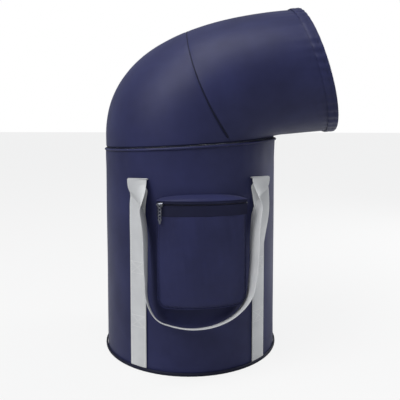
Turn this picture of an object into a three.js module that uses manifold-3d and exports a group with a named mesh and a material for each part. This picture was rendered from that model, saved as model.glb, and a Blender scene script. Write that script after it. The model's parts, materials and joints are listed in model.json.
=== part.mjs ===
// Portable steam sauna for the legs: a padded fabric barrel with an elbow-shaped hood.
//
// Millimetres, +Z up. The origin is on the floor at the barrel's axis. The hood's mouth faces +X.
// The front, with the pocket and one carrying handle, faces -Y turned a little towards +X.
// Soft walls are built in layers: shell, padding, lining. Touching pieces keep CLEARANCE apart.

import * as THREE from "three";
import { mergeVertices } from "three/addons/utils/BufferGeometryUtils.js";
import Module from "manifold-3d";

const wasm = await Module();
wasm.setup();

// ---------------------------------------------------------------- driving dimensions

const CLEARANCE = 0.3;

const BARREL_RADIUS = 180;
const SHELL_THICKNESS = 1.4;
const PADDING_THICKNESS = 6;
const LINING_THICKNESS = 1;
const RING_SEGMENTS = 36;

const RIM_HEIGHT = 431.5; // at the axis; the rim plane is tilted and rises towards +X
const RIM_TILT = THREE.MathUtils.degToRad(3.33);
const LIP_WIDTH = 4;
const LIP_HEIGHT = 5;
const LIP_PROUD = 3;

const BASE_CLOTH_THICKNESS = 1.6;
const BASE_BOARD_THICKNESS = 4;
const BASE_PIPING_PROUD = 3.6;
const BASE_PIPING_HEIGHT = 7;
const HOOP_WIRE_RADIUS = 1.5;
const WIRE_SLEEVE = 1.3; // between a wire and the lining that its sleeve is sewn to
const BASE_HOOP_HEIGHT = 11;

const TAPE_THICKNESS = 0.9;
const RIM_TAPE_HEIGHT = 10;
const COIL_THICKNESS = 1.6;
const COIL_HALF_HEIGHT = 1.2;
const GROOVE_HEIGHT = 4; // open groove between the lip and the hood, where the zip lies
const HINGE_SEAM_ANGLE = THREE.MathUtils.degToRad(20); // sewn, not zipped, each side of the back

const MOUTH_TOP_REACH = 41; // in front of the barrel's wall
const MOUTH_TOP_RISE = 275.5; // above the rim
const MOUTH_BOTTOM_REACH = 120;
const MOUTH_BOTTOM_RISE = 25.5;
const MOUTH_NARROWING = 8; // each side
const HEM_WIDTH = 18;
const HEM_CLOTH = 1.2;
const HOOD_DIRECTION = new THREE.Vector2(1, 0).rotateAround(new THREE.Vector2(), 0.075);
const HOOD_UPRIGHT = 23; // straight stretch at the back, above the rim
const HOOD_BACK_PULL = 98;
const HOOD_TOP_PULL = 322;
const HOOD_SEGMENTS = 24;
const HOOD_ROWS = 7;
const SEAM_TOP_OFFSET = -4; // from the barrel's axis
const SEAM_TOP_RISE = 228.5;
const SEAM_BOTTOM_INSET = 90; // behind the barrel's front wall
const SEAM_BOTTOM_RISE = 4.5;
const SEAM_BOW = 13;
const BOW_WIRE_RADIUS = 1.3;
const BOW_ROOM = 1.2; // between the wire and the padding each side

const FRONT_TURN = THREE.MathUtils.degToRad(11);
const WEBBING_WIDTH = 38;
const WEBBING_THICKNESS = 1.8;
const STRAP_OFFSET = THREE.MathUtils.degToRad(40.5); // each side of the front's middle
const STRAP_BELOW_RIM = 61.5;
const HANDLE_DROP = 270.5; // from the folds to the loop's lowest point
const HANDLE_STEPS = 36;

const POCKET_HALF_ANGLE = THREE.MathUtils.degToRad(24.8);
const POCKET_DEPTH = 21;
const POCKET_BULGE = 5;
const POCKET_CLOTH = 1.4;
const POCKET_BELOW_RIM = 87.5;
const POCKET_ZIP_BELOW_TOP = 16.5;
const POCKET_PANEL_BELOW_ZIP = 21.5;
const POCKET_PANEL_HEIGHT = 171;
const POCKET_CORNER = 20;
const POCKET_TAPE_UPPER_WIDTH = 4;

const SLIDER_LENGTH = 10;
const SLIDER_THICKNESS = 1.6;
const PULL_WIDTH = 5.5;
const PULL_THICKNESS = 1.6;
const RIM_PULL_LENGTH = 26;
const POCKET_PULL_LENGTH = 36;

const PORT_HEIGHT = 62;
const PORT_TUBE_RADIUS = 12;
const PORT_BORE_RADIUS = 9;
const PORT_FLANGE_RADIUS = 20;
const PORT_FLANGE_THICKNESS = 3;
const PORT_NUT_THICKNESS = 5;
const PORT_SEAL_THICKNESS = 1.5;
const PORT_REACH = 8; // length of tube inside the nut
const DIFFUSER_WALL = 2;
const DIFFUSER_JETS = 5;
const JET_RADIUS = 1.8;
const JET_SPREAD = 5.5; // from the diffuser's middle
const CAP_THICKNESS = 5;
const CAP_OVERLAP = 6; // beyond the bore
const CAP_PLUG_LENGTH = 10;
const CAP_PLUG_CLEARANCE = 0.4;
const PORT_SEGMENTS = 20;

// ---------------------------------------------------------------- sizes worked out from them

const SHELL_INNER = BARREL_RADIUS - SHELL_THICKNESS;
const PADDING_OUTER = SHELL_INNER - CLEARANCE;
const PADDING_INNER = PADDING_OUTER - PADDING_THICKNESS;
const LINING_OUTER = PADDING_INNER - CLEARANCE;
const LINING_INNER = LINING_OUTER - LINING_THICKNESS;
const WALL_THICKNESS = BARREL_RADIUS - LINING_INNER;
const RIM_SLOPE = Math.tan(RIM_TILT);

const BOARD_BOTTOM = BASE_CLOTH_THICKNESS + CLEARANCE;
const BOARD_TOP = BOARD_BOTTOM + BASE_BOARD_THICKNESS;
const FLOOR_LINING_TOP = BOARD_TOP + CLEARANCE + LINING_THICKNESS;
const HOOP_RADIUS = LINING_OUTER + WIRE_SLEEVE + HOOP_WIRE_RADIUS;
const HOOP_ROOM = HOOP_WIRE_RADIUS + CLEARANCE;
const STRAP_BOTTOM = BASE_PIPING_HEIGHT + CLEARANCE;
const STRAP_TOP = RIM_HEIGHT - STRAP_BELOW_RIM;

const MOUTH_TOP = new THREE.Vector2(BARREL_RADIUS + MOUTH_TOP_REACH, RIM_HEIGHT + MOUTH_TOP_RISE);
const MOUTH_BOTTOM = new THREE.Vector2(BARREL_RADIUS + MOUTH_BOTTOM_REACH, RIM_HEIGHT + MOUTH_BOTTOM_RISE);
const MOUTH_HALF_WIDTH = BARREL_RADIUS - MOUTH_NARROWING;
const SEAM_TOP = new THREE.Vector2(SEAM_TOP_OFFSET, RIM_HEIGHT + SEAM_TOP_RISE);
const SEAM_BOTTOM = new THREE.Vector2(BARREL_RADIUS - SEAM_BOTTOM_INSET, RIM_HEIGHT + SEAM_BOTTOM_RISE);

// The zip's tapes and coils, in the rim's own tilted frame, where z = 0 is the lip's top.
const TAPE_OUTER = SHELL_INNER - 0.8;
const TAPE_INNER = TAPE_OUTER - TAPE_THICKNESS;
const COIL_OUTER = TAPE_OUTER + 0.2;
const COIL_INNER = COIL_OUTER - COIL_THICKNESS;
const LIP_INNER = BARREL_RADIUS + LIP_PROUD - LIP_WIDTH;
const LIP_OUTER = BARREL_RADIUS + LIP_PROUD;
const TAPE_LOWER_TOP = -COIL_HALF_HEIGHT - CLEARANCE;
const TAPE_LOWER_BOTTOM = TAPE_LOWER_TOP - RIM_TAPE_HEIGHT;
const ZIP_END = Math.PI - HINGE_SEAM_ANGLE;
const RING_STEP = (2 * Math.PI) / RING_SEGMENTS;

const POCKET_TOP = RIM_HEIGHT - POCKET_BELOW_RIM;
const POCKET_ZIP_HEIGHT = POCKET_TOP - POCKET_ZIP_BELOW_TOP;
const POCKET_PANEL_TOP = POCKET_ZIP_HEIGHT - POCKET_PANEL_BELOW_ZIP;
const POCKET_BOTTOM = POCKET_PANEL_TOP - POCKET_PANEL_HEIGHT;
const POCKET_INNER = BARREL_RADIUS + CLEARANCE + 0.1;
const POCKET_SKIN_INNER = POCKET_INNER + POCKET_DEPTH - POCKET_CLOTH;
const POCKET_SKIN_OUTER = POCKET_SKIN_INNER + POCKET_CLOTH;
const POCKET_TAPE_TOP = POCKET_ZIP_HEIGHT + COIL_HALF_HEIGHT + CLEARANCE + POCKET_TAPE_UPPER_WIDTH;

// ---------------------------------------------------------------- helpers

/** A finish: colour as sRGB hex, roughness and metalness. */
function finish(colour, roughness, metalness = 0) {
  return new THREE.MeshStandardMaterial({ color: colour, roughness, metalness });
}

const NAVY = finish(0x34365c, 0.55);
const NAVY_DARK = finish(0x1c1d36, 0.7);
const SILVER = finish(0xb9bcc0, 0.35, 0.6);
const FOAM = finish(0xe8e8e4, 0.9);
const BOARD = finish(0x2b2b2e, 0.7);
const STEEL = finish(0x8d9196, 0.35, 1);
const GREY_WEBBING = finish(0xb4b5b3, 0.85);
const GUNMETAL = finish(0x5a5c62, 0.35, 0.9);
const PLASTIC = finish(0x26272b, 0.5);
const RUBBER = finish(0x17171a, 0.8);

/** Keep only positions, merge what meets, and turn the faces outwards. */
function closed(geometry) {
  geometry.deleteAttribute("normal");
  geometry.deleteAttribute("uv");
  const merged = mergeVertices(geometry, 1e-4);
  const place = merged.attributes.position;
  const index = merged.index.array;
  const [a, b, c] = [new THREE.Vector3(), new THREE.Vector3(), new THREE.Vector3()];
  const faces = [];
  let volume = 0;
  for (let i = 0; i < index.length; i += 3) {
    const [p, q, r] = [index[i], index[i + 1], index[i + 2]];
    if (p === q || q === r || r === p) continue;
    faces.push([p, q, r]);
    a.fromBufferAttribute(place, p);
    b.fromBufferAttribute(place, q);
    c.fromBufferAttribute(place, r);
    volume += a.dot(b.cross(c));
  }
  merged.setIndex(faces.flatMap(([p, q, r]) => (volume < 0 ? [p, r, q] : [p, q, r])));
  return merged;
}

/** Move every vertex with a function of its position, then close the result. */
function warped(geometry, move) {
  const place = geometry.attributes.position;
  const vertex = new THREE.Vector3();
  for (let i = 0; i < place.count; i += 1) {
    vertex.fromBufferAttribute(place, i);
    const moved = move(vertex.clone());
    place.setXYZ(i, moved.x, moved.y, moved.z);
  }
  return closed(geometry);
}

function toManifold(geometry) {
  const vertProperties = new Float32Array(geometry.attributes.position.array);
  const triVerts = new Uint32Array(geometry.index.array);
  return new wasm.Manifold(new wasm.Mesh({ numProp: 3, vertProperties, triVerts }));
}

function fromManifold(manifold) {
  const { vertProperties, triVerts } = manifold.getMesh();
  const geometry = new THREE.BufferGeometry();
  geometry.setAttribute("position", new THREE.BufferAttribute(new Float32Array(vertProperties), 3));
  geometry.setIndex(Array.from(triVerts));
  return geometry;
}

function cut(geometry, tool) {
  return fromManifold(toManifold(geometry).subtract(toManifold(tool)));
}

function overlap(geometry, tool) {
  return fromManifold(toManifold(geometry).intersect(toManifold(tool)));
}

/** Revolve closed [radius, height] points about Z. */
function ring(points, segments = RING_SEGMENTS) {
  const outline = [...points, points[0]].map(([r, z]) => new THREE.Vector2(r, z));
  return closed(new THREE.LatheGeometry(outline, segments).rotateX(Math.PI / 2));
}

/** A solid disc about Z. */
function disc(radius, bottom, top) {
  const outline = [[0, bottom], [radius, bottom], [radius, top], [0, top]];
  const points = outline.map(([r, z]) => new THREE.Vector2(r, z));
  return closed(new THREE.LatheGeometry(points, RING_SEGMENTS).rotateX(Math.PI / 2));
}

/** A point on or near the wall: angle to the right of the front's middle, radius, height. */
function onWall(angle, radius, height) {
  return new THREE.Vector3(radius * Math.sin(angle), -radius * Math.cos(angle), height);
}

/** A curved plate on the wall between two angles, radii and heights. */
function wallPlate({ from, to, inner, outer, bottom, top, columns = 2 }) {
  return warped(new THREE.BoxGeometry(1, 1, 1, columns, 1, 1), (v) =>
    onWall(from + (v.x + 0.5) * (to - from), outer - (v.y + 0.5) * (outer - inner),
      bottom + (v.z + 0.5) * (top - bottom)));
}

/** A solid with a straight section: closed [y, z] points drawn out along X, centred on x = 0. */
function bar(points, length) {
  const shape = new THREE.Shape(points.map(([y, z]) => new THREE.Vector2(y, z)));
  const solid = new THREE.ExtrudeGeometry(shape, { depth: length, bevelEnabled: false });
  return closed(solid.translate(0, 0, -length / 2).rotateY(Math.PI / 2).rotateX(Math.PI / 2));
}

/** Revolve closed [radius, y] points about a level axis that runs along Y at the port's height. */
function portRing(points) {
  const outline = [...points, points[0]].map(([r, y]) => new THREE.Vector2(r, y));
  return closed(new THREE.LatheGeometry(outline, PORT_SEGMENTS).translate(0, 0, PORT_HEIGHT));
}

function mesh(name, geometry, material) {
  const piece = new THREE.Mesh(geometry, material);
  piece.name = name;
  return piece;
}

// ---------------------------------------------------------------- barrel

const portGap = PORT_TUBE_RADIUS + CLEARANCE;

/** The hole that the steam port passes through, in the back's own frame turned to the part's. */
function portHole() {
  const hole = new THREE.CylinderGeometry(portGap, portGap, 60, PORT_SEGMENTS);
  hole.translate(0, -BARREL_RADIUS, PORT_HEIGHT).rotateZ(Math.PI + FRONT_TURN);
  return closed(hole);
}

/** A wall layer whose top edge follows the rim plane, a stated distance below it. */
function wallLayer(inner, outer, bottom, belowRim) {
  const top = RIM_HEIGHT - belowRim;
  const outline = [[inner, bottom], [outer, bottom], [outer, top], [inner, top]];
  const tilted = (v) => (v.z > top - 1 ? v.setZ(v.z + v.x * RIM_SLOPE) : v);
  return cut(warped(ring(outline), tilted), portHole());
}

function barrel() {
  const group = new THREE.Group();
  const paddingBottom = BASE_HOOP_HEIGHT + HOOP_ROOM;
  const hoopDepth = -TAPE_LOWER_BOTTOM + HOOP_ROOM;
  const paddingTop = hoopDepth + HOOP_ROOM;
  const shellTop = LIP_HEIGHT + CLEARANCE;
  const pipingInner = BARREL_RADIUS + CLEARANCE;
  const pipingOuter = BARREL_RADIUS + BASE_PIPING_PROUD;
  const pipingEdge = BASE_PIPING_PROUD / 3;
  const piping = [[pipingInner, 0], [pipingOuter - pipingEdge, 0], [pipingOuter, pipingEdge],
    [pipingOuter, BASE_PIPING_HEIGHT - pipingEdge], [pipingOuter - pipingEdge, BASE_PIPING_HEIGHT],
    [pipingInner, BASE_PIPING_HEIGHT]];
  const hoop = new THREE.TorusGeometry(HOOP_RADIUS, HOOP_WIRE_RADIUS, 5, RING_SEGMENTS);
  const floorRadius = LINING_INNER - CLEARANCE;

  group.add(
    mesh("barrel_shell", wallLayer(SHELL_INNER, BARREL_RADIUS, 0, shellTop), NAVY),
    mesh("barrel_padding", wallLayer(PADDING_INNER, PADDING_OUTER, paddingBottom, paddingTop), FOAM),
    mesh("barrel_lining", wallLayer(LINING_INNER, LINING_OUTER, BOARD_BOTTOM, shellTop), SILVER),
    mesh("base_cloth", disc(SHELL_INNER - CLEARANCE, 0, BASE_CLOTH_THICKNESS), NAVY_DARK),
    mesh("base_board", disc(floorRadius, BOARD_BOTTOM, BOARD_TOP), BOARD),
    mesh("floor_lining", disc(floorRadius, BOARD_TOP + CLEARANCE, FLOOR_LINING_TOP), SILVER),
    mesh("base_piping", ring(piping), NAVY_DARK),
    mesh("base_hoop", closed(hoop.clone().translate(0, 0, BASE_HOOP_HEIGHT)), STEEL),
  );

  const rimHoop = mesh("rim_hoop", closed(hoop.clone().translate(0, 0, -hoopDepth)), STEEL);
  rimHoop.position.z = RIM_HEIGHT;
  rimHoop.rotation.y = -RIM_TILT;
  group.add(rimHoop);
  return group;
}

// ---------------------------------------------------------------- rim and its zip

/** A group in the rim's tilted frame, whose z = 0 is the top of the lip. */
function rimFrame() {
  const group = new THREE.Group();
  group.position.z = RIM_HEIGHT;
  group.rotation.y = -RIM_TILT;
  return group;
}

/** One side's coil, all round but for the sewn stretch at the back. */
function rimCoil(bottom, top) {
  const columns = Math.round((2 * ZIP_END) / RING_STEP);
  const coil = wallPlate({ from: -ZIP_END, to: ZIP_END, inner: COIL_INNER, outer: COIL_OUTER,
    bottom, top, columns });
  return coil.rotateZ(Math.PI / 2);
}

/** A short arc of the rim's back, between two angles from the back's middle. */
function rimArc(from, to, columns) {
  const arc = wallPlate({ from, to, inner: COIL_INNER, outer: COIL_OUTER,
    bottom: -COIL_HALF_HEIGHT, top: COIL_HALF_HEIGHT, columns });
  return arc.rotateZ(-Math.PI / 2);
}

/** The slider: a foot in the groove and a plate that hangs in front of the lip. */
function rimSlider() {
  const footInner = -(COIL_OUTER + CLEARANCE + 0.1);
  const plateInner = -(LIP_OUTER + CLEARANCE + 0.1);
  const plateOuter = plateInner - SLIDER_THICKNESS;
  const footTop = GROOVE_HEIGHT - 0.6;
  const section = [[footInner, CLEARANCE], [footInner, footTop], [plateOuter, footTop],
    [plateOuter, -LIP_HEIGHT - 2], [plateInner, -LIP_HEIGHT - 2], [plateInner, CLEARANCE]];
  return bar(section, SLIDER_LENGTH);
}

/** A flat pull that hangs from its pin, the pin's axis being x = 0 of its own frame. */
function pull(length, face) {
  const near = face - CLEARANCE;
  const far = near - PULL_THICKNESS;
  const pinRoom = 0.4 * PULL_THICKNESS; // above the pin, so that the end clears the slider as it turns
  return bar([[near, pinRoom], [far, pinRoom], [far, -length], [near, -length]], PULL_WIDTH);
}

function rim() {
  const group = new THREE.Group();
  const frame = rimFrame();
  const edge = LIP_WIDTH / 4;
  const lip = [[LIP_INNER, -LIP_HEIGHT], [LIP_OUTER - edge, -LIP_HEIGHT], [LIP_OUTER, -LIP_HEIGHT / 2],
    [LIP_OUTER - edge, 0], [LIP_INNER, 0]];
  const lower = [[TAPE_INNER, TAPE_LOWER_BOTTOM], [TAPE_OUTER, TAPE_LOWER_BOTTOM],
    [TAPE_OUTER, TAPE_LOWER_TOP], [TAPE_INNER, TAPE_LOWER_TOP]];
  const stopAngle = 2 * THREE.MathUtils.DEG2RAD;
  const stopFrom = HINGE_SEAM_ANGLE - stopAngle - CLEARANCE / BARREL_RADIUS;
  const stopTo = HINGE_SEAM_ANGLE - CLEARANCE / BARREL_RADIUS;
  const gussetTo = stopFrom - CLEARANCE / BARREL_RADIUS;

  frame.add(
    mesh("rim_lip", ring(lip), NAVY),
    mesh("rim_tape_lower", ring(lower), NAVY_DARK),
    mesh("rim_coil_lower", rimCoil(-COIL_HALF_HEIGHT, -CLEARANCE / 2), NAVY_DARK),
    mesh("hinge_gusset", rimArc(-gussetTo, gussetTo, 6), NAVY_DARK),
    mesh("rim_stop_start", rimArc(stopFrom, stopTo, 1), GUNMETAL),
    mesh("rim_stop_end", rimArc(-stopTo, -stopFrom, 1), GUNMETAL),
  );

  const parked = new THREE.Group();
  parked.rotation.z = Math.PI / 2 + ZIP_END - (SLIDER_LENGTH / 2 + 1) / BARREL_RADIUS;
  const plateFace = -(LIP_OUTER + CLEARANCE + 0.1 + SLIDER_THICKNESS);
  const rimPull = mesh("rim_pull", pull(RIM_PULL_LENGTH, plateFace), GUNMETAL);
  rimPull.position.z = -LIP_HEIGHT / 2;
  parked.add(mesh("rim_slider", rimSlider(), GUNMETAL), rimPull);
  frame.add(parked);
  group.add(frame);
  return group;
}

// ---------------------------------------------------------------- hood

/** A point of the rim's frame, at a signed distance along its slope and a height above it. */
function rimPoint(along, above) {
  const [cos, sin] = [Math.cos(RIM_TILT), Math.sin(RIM_TILT)];
  return new THREE.Vector2(along * cos - above * sin, RIM_HEIGHT + along * sin + above * cos);
}

const hoodBack = rimPoint(-BARREL_RADIUS, GROOVE_HEIGHT);
const hoodFront = rimPoint(BARREL_RADIUS, GROOVE_HEIGHT);
const hemStep = HOOD_DIRECTION.clone().multiplyScalar(HEM_WIDTH);
const elbowTop = MOUTH_TOP.clone().sub(hemStep);
const elbowBottom = MOUTH_BOTTOM.clone().sub(hemStep);

/** The hood's outline over the back and top, seen from the side. */
const outerCurve = new THREE.CurvePath();
const uprightEnd = hoodBack.clone().add(new THREE.Vector2(0, HOOD_UPRIGHT));
outerCurve.add(new THREE.LineCurve(hoodBack, uprightEnd));
outerCurve.add(new THREE.CubicBezierCurve(
  uprightEnd,
  uprightEnd.clone().add(new THREE.Vector2(0, HOOD_BACK_PULL)),
  elbowTop.clone().sub(HOOD_DIRECTION.clone().multiplyScalar(HOOD_TOP_PULL)),
  elbowTop,
));

/** The side outline's two ends at a place along the hood: 0 the rim, 1 the hem's seam, 2 the mouth. */
function hoodEnds(along) {
  if (along > 1) {
    const step = HOOD_DIRECTION.clone().multiplyScalar(HEM_WIDTH * (along - 1));
    return [elbowTop.clone().add(step), elbowBottom.clone().add(step)];
  }
  return [outerCurve.getPoint(along), hoodFront.clone().lerp(elbowBottom, along ** 1.15)];
}

/** A point on the hood's outside: angle about its axis (0 at the front or underside), place along. */
function hoodSurface(angle, along) {
  const [top, bottom] = hoodEnds(along);
  const middle = top.clone().add(bottom).multiplyScalar(0.5);
  const half = bottom.sub(top).multiplyScalar(0.5);
  const width = THREE.MathUtils.lerp(BARREL_RADIUS, MOUTH_HALF_WIDTH, Math.min(along, 1));
  const cos = Math.cos(angle);
  return new THREE.Vector3(middle.x + half.x * cos, width * Math.sin(angle), middle.y + half.y * cos);
}

/** A point in the hood's wall, a depth inwards from the outside, square to it. */
function hoodPoint(angle, along, depth) {
  const step = 0.01;
  const from = Math.min(Math.max(along - step, 0), 2 - 2 * step);
  const around = hoodSurface(angle + step, along).sub(hoodSurface(angle - step, along));
  const forward = hoodSurface(angle, from + 2 * step).sub(hoodSurface(angle, from));
  const inwards = around.cross(forward).normalize();
  return hoodSurface(angle, along).addScaledVector(inwards, -depth);
}

/** Wrap closed [depth, along] points round the hood. */
function hoodRing(points) {
  const scale = 100; // stretches the short "along" axis, so that close points stay apart
  const lathe = ring(points.map(([depth, along]) => [BARREL_RADIUS - depth, along * scale]), HOOD_SEGMENTS);
  return warped(lathe, (v) => {
    const depth = BARREL_RADIUS - Math.hypot(v.x, v.y);
    return hoodPoint(Math.atan2(v.y, v.x), Math.max(v.z, 0) / scale, depth);
  });
}

/**
 * One layer of the hood's wall, from the rim to a place in the hem. Its two skins share their
 * diagonals, so that layers nest without crossing where the wall twists.
 */
function hoodLayer(outer, inner, end) {
  const places = [...Array.from({ length: HOOD_ROWS + 1 }, (_, i) => i / HOOD_ROWS), end];
  const rows = places.length;
  const points = [];
  for (const depth of [outer, inner]) {
    for (let i = 0; i < HOOD_SEGMENTS; i += 1) {
      const angle = (i * 2 * Math.PI) / HOOD_SEGMENTS;
      for (const along of places) points.push(hoodPoint(angle, along, depth));
    }
  }
  const at = (skin, i, j) => (skin * HOOD_SEGMENTS + (i % HOOD_SEGMENTS)) * rows + j;
  const index = [];
  for (let i = 0; i < HOOD_SEGMENTS; i += 1) {
    for (let j = 0; j + 1 < rows; j += 1) {
      const [a, b, c, d] = [at(0, i, j), at(0, i + 1, j), at(0, i + 1, j + 1), at(0, i, j + 1)];
      const [e, f, g, h] = [at(1, i, j), at(1, i + 1, j), at(1, i + 1, j + 1), at(1, i, j + 1)];
      index.push(a, b, c, a, c, d, e, g, f, e, h, g);
    }
    const last = rows - 1;
    index.push(at(0, i, 0), at(1, i + 1, 0), at(0, i + 1, 0), at(0, i, 0), at(1, i, 0), at(1, i + 1, 0));
    index.push(at(0, i, last), at(0, i + 1, last), at(1, i + 1, last));
    index.push(at(0, i, last), at(1, i + 1, last), at(1, i, last));
  }
  return closed(new THREE.BufferGeometry().setFromPoints(points).setIndex(index));
}

/** The seam's line in the side view. */
function seamCurve() {
  const along = SEAM_BOTTOM.clone().sub(SEAM_TOP);
  const across = new THREE.Vector2(along.y, -along.x).normalize();
  const middle = SEAM_TOP.clone().add(SEAM_BOTTOM).multiplyScalar(0.5);
  return new THREE.QuadraticBezierCurve(SEAM_TOP, middle.addScaledVector(across, 2 * SEAM_BOW), SEAM_BOTTOM);
}

/** Everything in front of the curved seam, moved along X by a stated distance. */
function frontOfSeam(shift) {
  const seam = seamCurve().getPoints(6);
  const lead = seam[0].clone().sub(seam[1]).multiplyScalar(2);
  const trail = seam[6].clone().sub(seam[5]).multiplyScalar(2);
  const edge = [seam[0].clone().add(lead), ...seam, seam[6].clone().add(trail)];
  const far = 2 * MOUTH_BOTTOM.x;
  const outline = [...edge, new THREE.Vector2(far, edge.at(-1).y), new THREE.Vector2(far, edge[0].y)];
  const depth = 4 * BARREL_RADIUS;
  const block = new THREE.ExtrudeGeometry(new THREE.Shape(outline), { depth, bevelEnabled: false });
  return closed(block.translate(0, 0, -depth / 2).rotateX(Math.PI / 2).translate(shift, 0, 0));
}

/** Split one layer of the hood at the seam, leaving a gap between the two panels. */
function panels(layer, gap) {
  return [cut(layer, frontOfSeam(-gap / 2)), overlap(layer, frontOfSeam(gap / 2))];
}

/** The point at a depth in the hood's wall that a point of the side view shows. */
function inWall(place, depth) {
  const miss = (angle, along) => {
    const point = hoodPoint(angle, along, depth);
    return Math.hypot(point.x - place.x, point.z - place.y);
  };
  let [angle, along] = [Math.PI / 2, 0.5];
  for (let reach = 1; reach > 1e-4; reach *= 0.7) {
    for (const [turn, slide] of [[1, 0], [-1, 0], [0, 1], [0, -1]]) {
      const nextAngle = THREE.MathUtils.clamp(angle + turn * reach, 0, Math.PI);
      const nextAlong = THREE.MathUtils.clamp(along + (slide * reach) / 3, 0, 1);
      if (miss(nextAngle, nextAlong) < miss(angle, along)) [angle, along] = [nextAngle, nextAlong];
    }
  }
  return hoodPoint(angle, along, depth);
}

/** The wire in the seam: an arch in the middle of the padding, from rim to rim. */
function seamWire(depth) {
  const seam = seamCurve();
  const steps = 12;
  const shown = 0.96; // the wire stops short of the seam's lower end
  const places = Array.from({ length: steps }, (_, i) => seam.getPoint(((i + 1) * shown) / steps));
  const side = places.map((place) => inWall(place, depth));
  const crown = inWall(seam.getPoint(0), depth).setY(0);
  const mirrored = side.map((point) => new THREE.Vector3(point.x, -point.y, point.z)).reverse();
  const path = new THREE.CatmullRomCurve3([...mirrored, crown, ...side]);
  const section = new THREE.Shape(Array.from({ length: 6 }, (_, i) =>
    new THREE.Vector2(BOW_WIRE_RADIUS, 0).rotateAround(new THREE.Vector2(), (i * Math.PI) / 3)));
  return closed(new THREE.ExtrudeGeometry(section, { steps: 2 * steps, extrudePath: path }));
}

function hood() {
  const group = new THREE.Group();
  const mouth = 2; // the place along the hood where its panels end
  const paddingFrom = SHELL_THICKNESS + CLEARANCE;
  const paddingTo = paddingFrom + PADDING_THICKNESS;
  const liningFrom = paddingTo + CLEARANCE;
  const wireEnd = 2 - (2 * HOOP_ROOM) / HEM_WIDTH;
  const foldRoom = CLEARANCE / HEM_WIDTH; // between the panels' ends and the hem's fold

  const shell = hoodLayer(0, SHELL_THICKNESS, mouth);
  const padding = hoodLayer(paddingFrom, paddingTo, wireEnd);
  const lining = hoodLayer(liningFrom, WALL_THICKNESS, mouth);
  const [rearPanel, frontPanel] = panels(shell, CLEARANCE);
  const [rearPadding, frontPadding] = panels(padding, 2 * (BOW_WIRE_RADIUS + BOW_ROOM));
  const [rearLining, frontLining] = panels(lining, CLEARANCE);

  const lip = mouth + foldRoom + HEM_CLOTH / HEM_WIDTH;
  const inside = WALL_THICKNESS + CLEARANCE;
  const hem = hoodRing([[-CLEARANCE, 1], [-CLEARANCE, mouth + foldRoom], [inside, mouth + foldRoom],
    [inside, 1], [inside + HEM_CLOTH, 1], [inside + HEM_CLOTH, lip], [-CLEARANCE - HEM_CLOTH, lip],
    [-CLEARANCE - HEM_CLOTH, 1]]);

  const hoopDepth = (paddingFrom + paddingTo) / 2;
  const hoopAlong = 2 - HOOP_ROOM / HEM_WIDTH;
  const wire = HOOP_WIRE_RADIUS;
  const wireSection = [0, 1, 2, 3, 4, 5].map((i) => {
    const turn = (i * Math.PI) / 3;
    return [hoopDepth + wire * Math.cos(turn), hoopAlong + (wire * Math.sin(turn)) / HEM_WIDTH];
  });

  group.add(
    mesh("hood_rear_panel", rearPanel, NAVY),
    mesh("hood_front_panel", frontPanel, NAVY),
    mesh("hood_rear_padding", rearPadding, FOAM),
    mesh("hood_front_padding", frontPadding, FOAM),
    mesh("hood_rear_lining", rearLining, SILVER),
    mesh("hood_front_lining", frontLining, SILVER),
    mesh("hood_bow", seamWire(liningFrom - WIRE_SLEEVE - BOW_WIRE_RADIUS), STEEL),
    mesh("mouth_hoop", hoodRing(wireSection), STEEL),
    mesh("hem_band", hem, NAVY),
  );

  const frame = rimFrame();
  const upperTop = GROOVE_HEIGHT - CLEARANCE;
  const upperBottom = COIL_HALF_HEIGHT + CLEARANCE;
  frame.add(
    mesh("rim_tape_upper", ring([[TAPE_INNER, upperBottom], [TAPE_OUTER, upperBottom],
      [TAPE_OUTER, upperTop], [TAPE_INNER, upperTop]]), NAVY_DARK),
    mesh("rim_coil_upper", rimCoil(CLEARANCE / 2, COIL_HALF_HEIGHT), NAVY_DARK),
  );
  group.add(frame);
  return group;
}

// ---------------------------------------------------------------- straps and handles

/** One webbing strap, sewn flat to the wall from the base up to where the handle folds over. */
function strap(middle) {
  const half = WEBBING_WIDTH / 2 / BARREL_RADIUS;
  const inner = BARREL_RADIUS + CLEARANCE;
  return wallPlate({ from: middle - half, to: middle + half, inner, outer: inner + WEBBING_THICKNESS,
    bottom: STRAP_BOTTOM, top: STRAP_TOP, columns: 4 });
}

const strapFace = BARREL_RADIUS + CLEARANCE + WEBBING_THICKNESS;
const foldReach = strapFace * Math.cos(STRAP_OFFSET - WEBBING_WIDTH / 2 / BARREL_RADIUS);
const foldFront = foldReach + CLEARANCE + WEBBING_THICKNESS / 2;
const foldSide = strapFace * Math.sin(STRAP_OFFSET);

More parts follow.
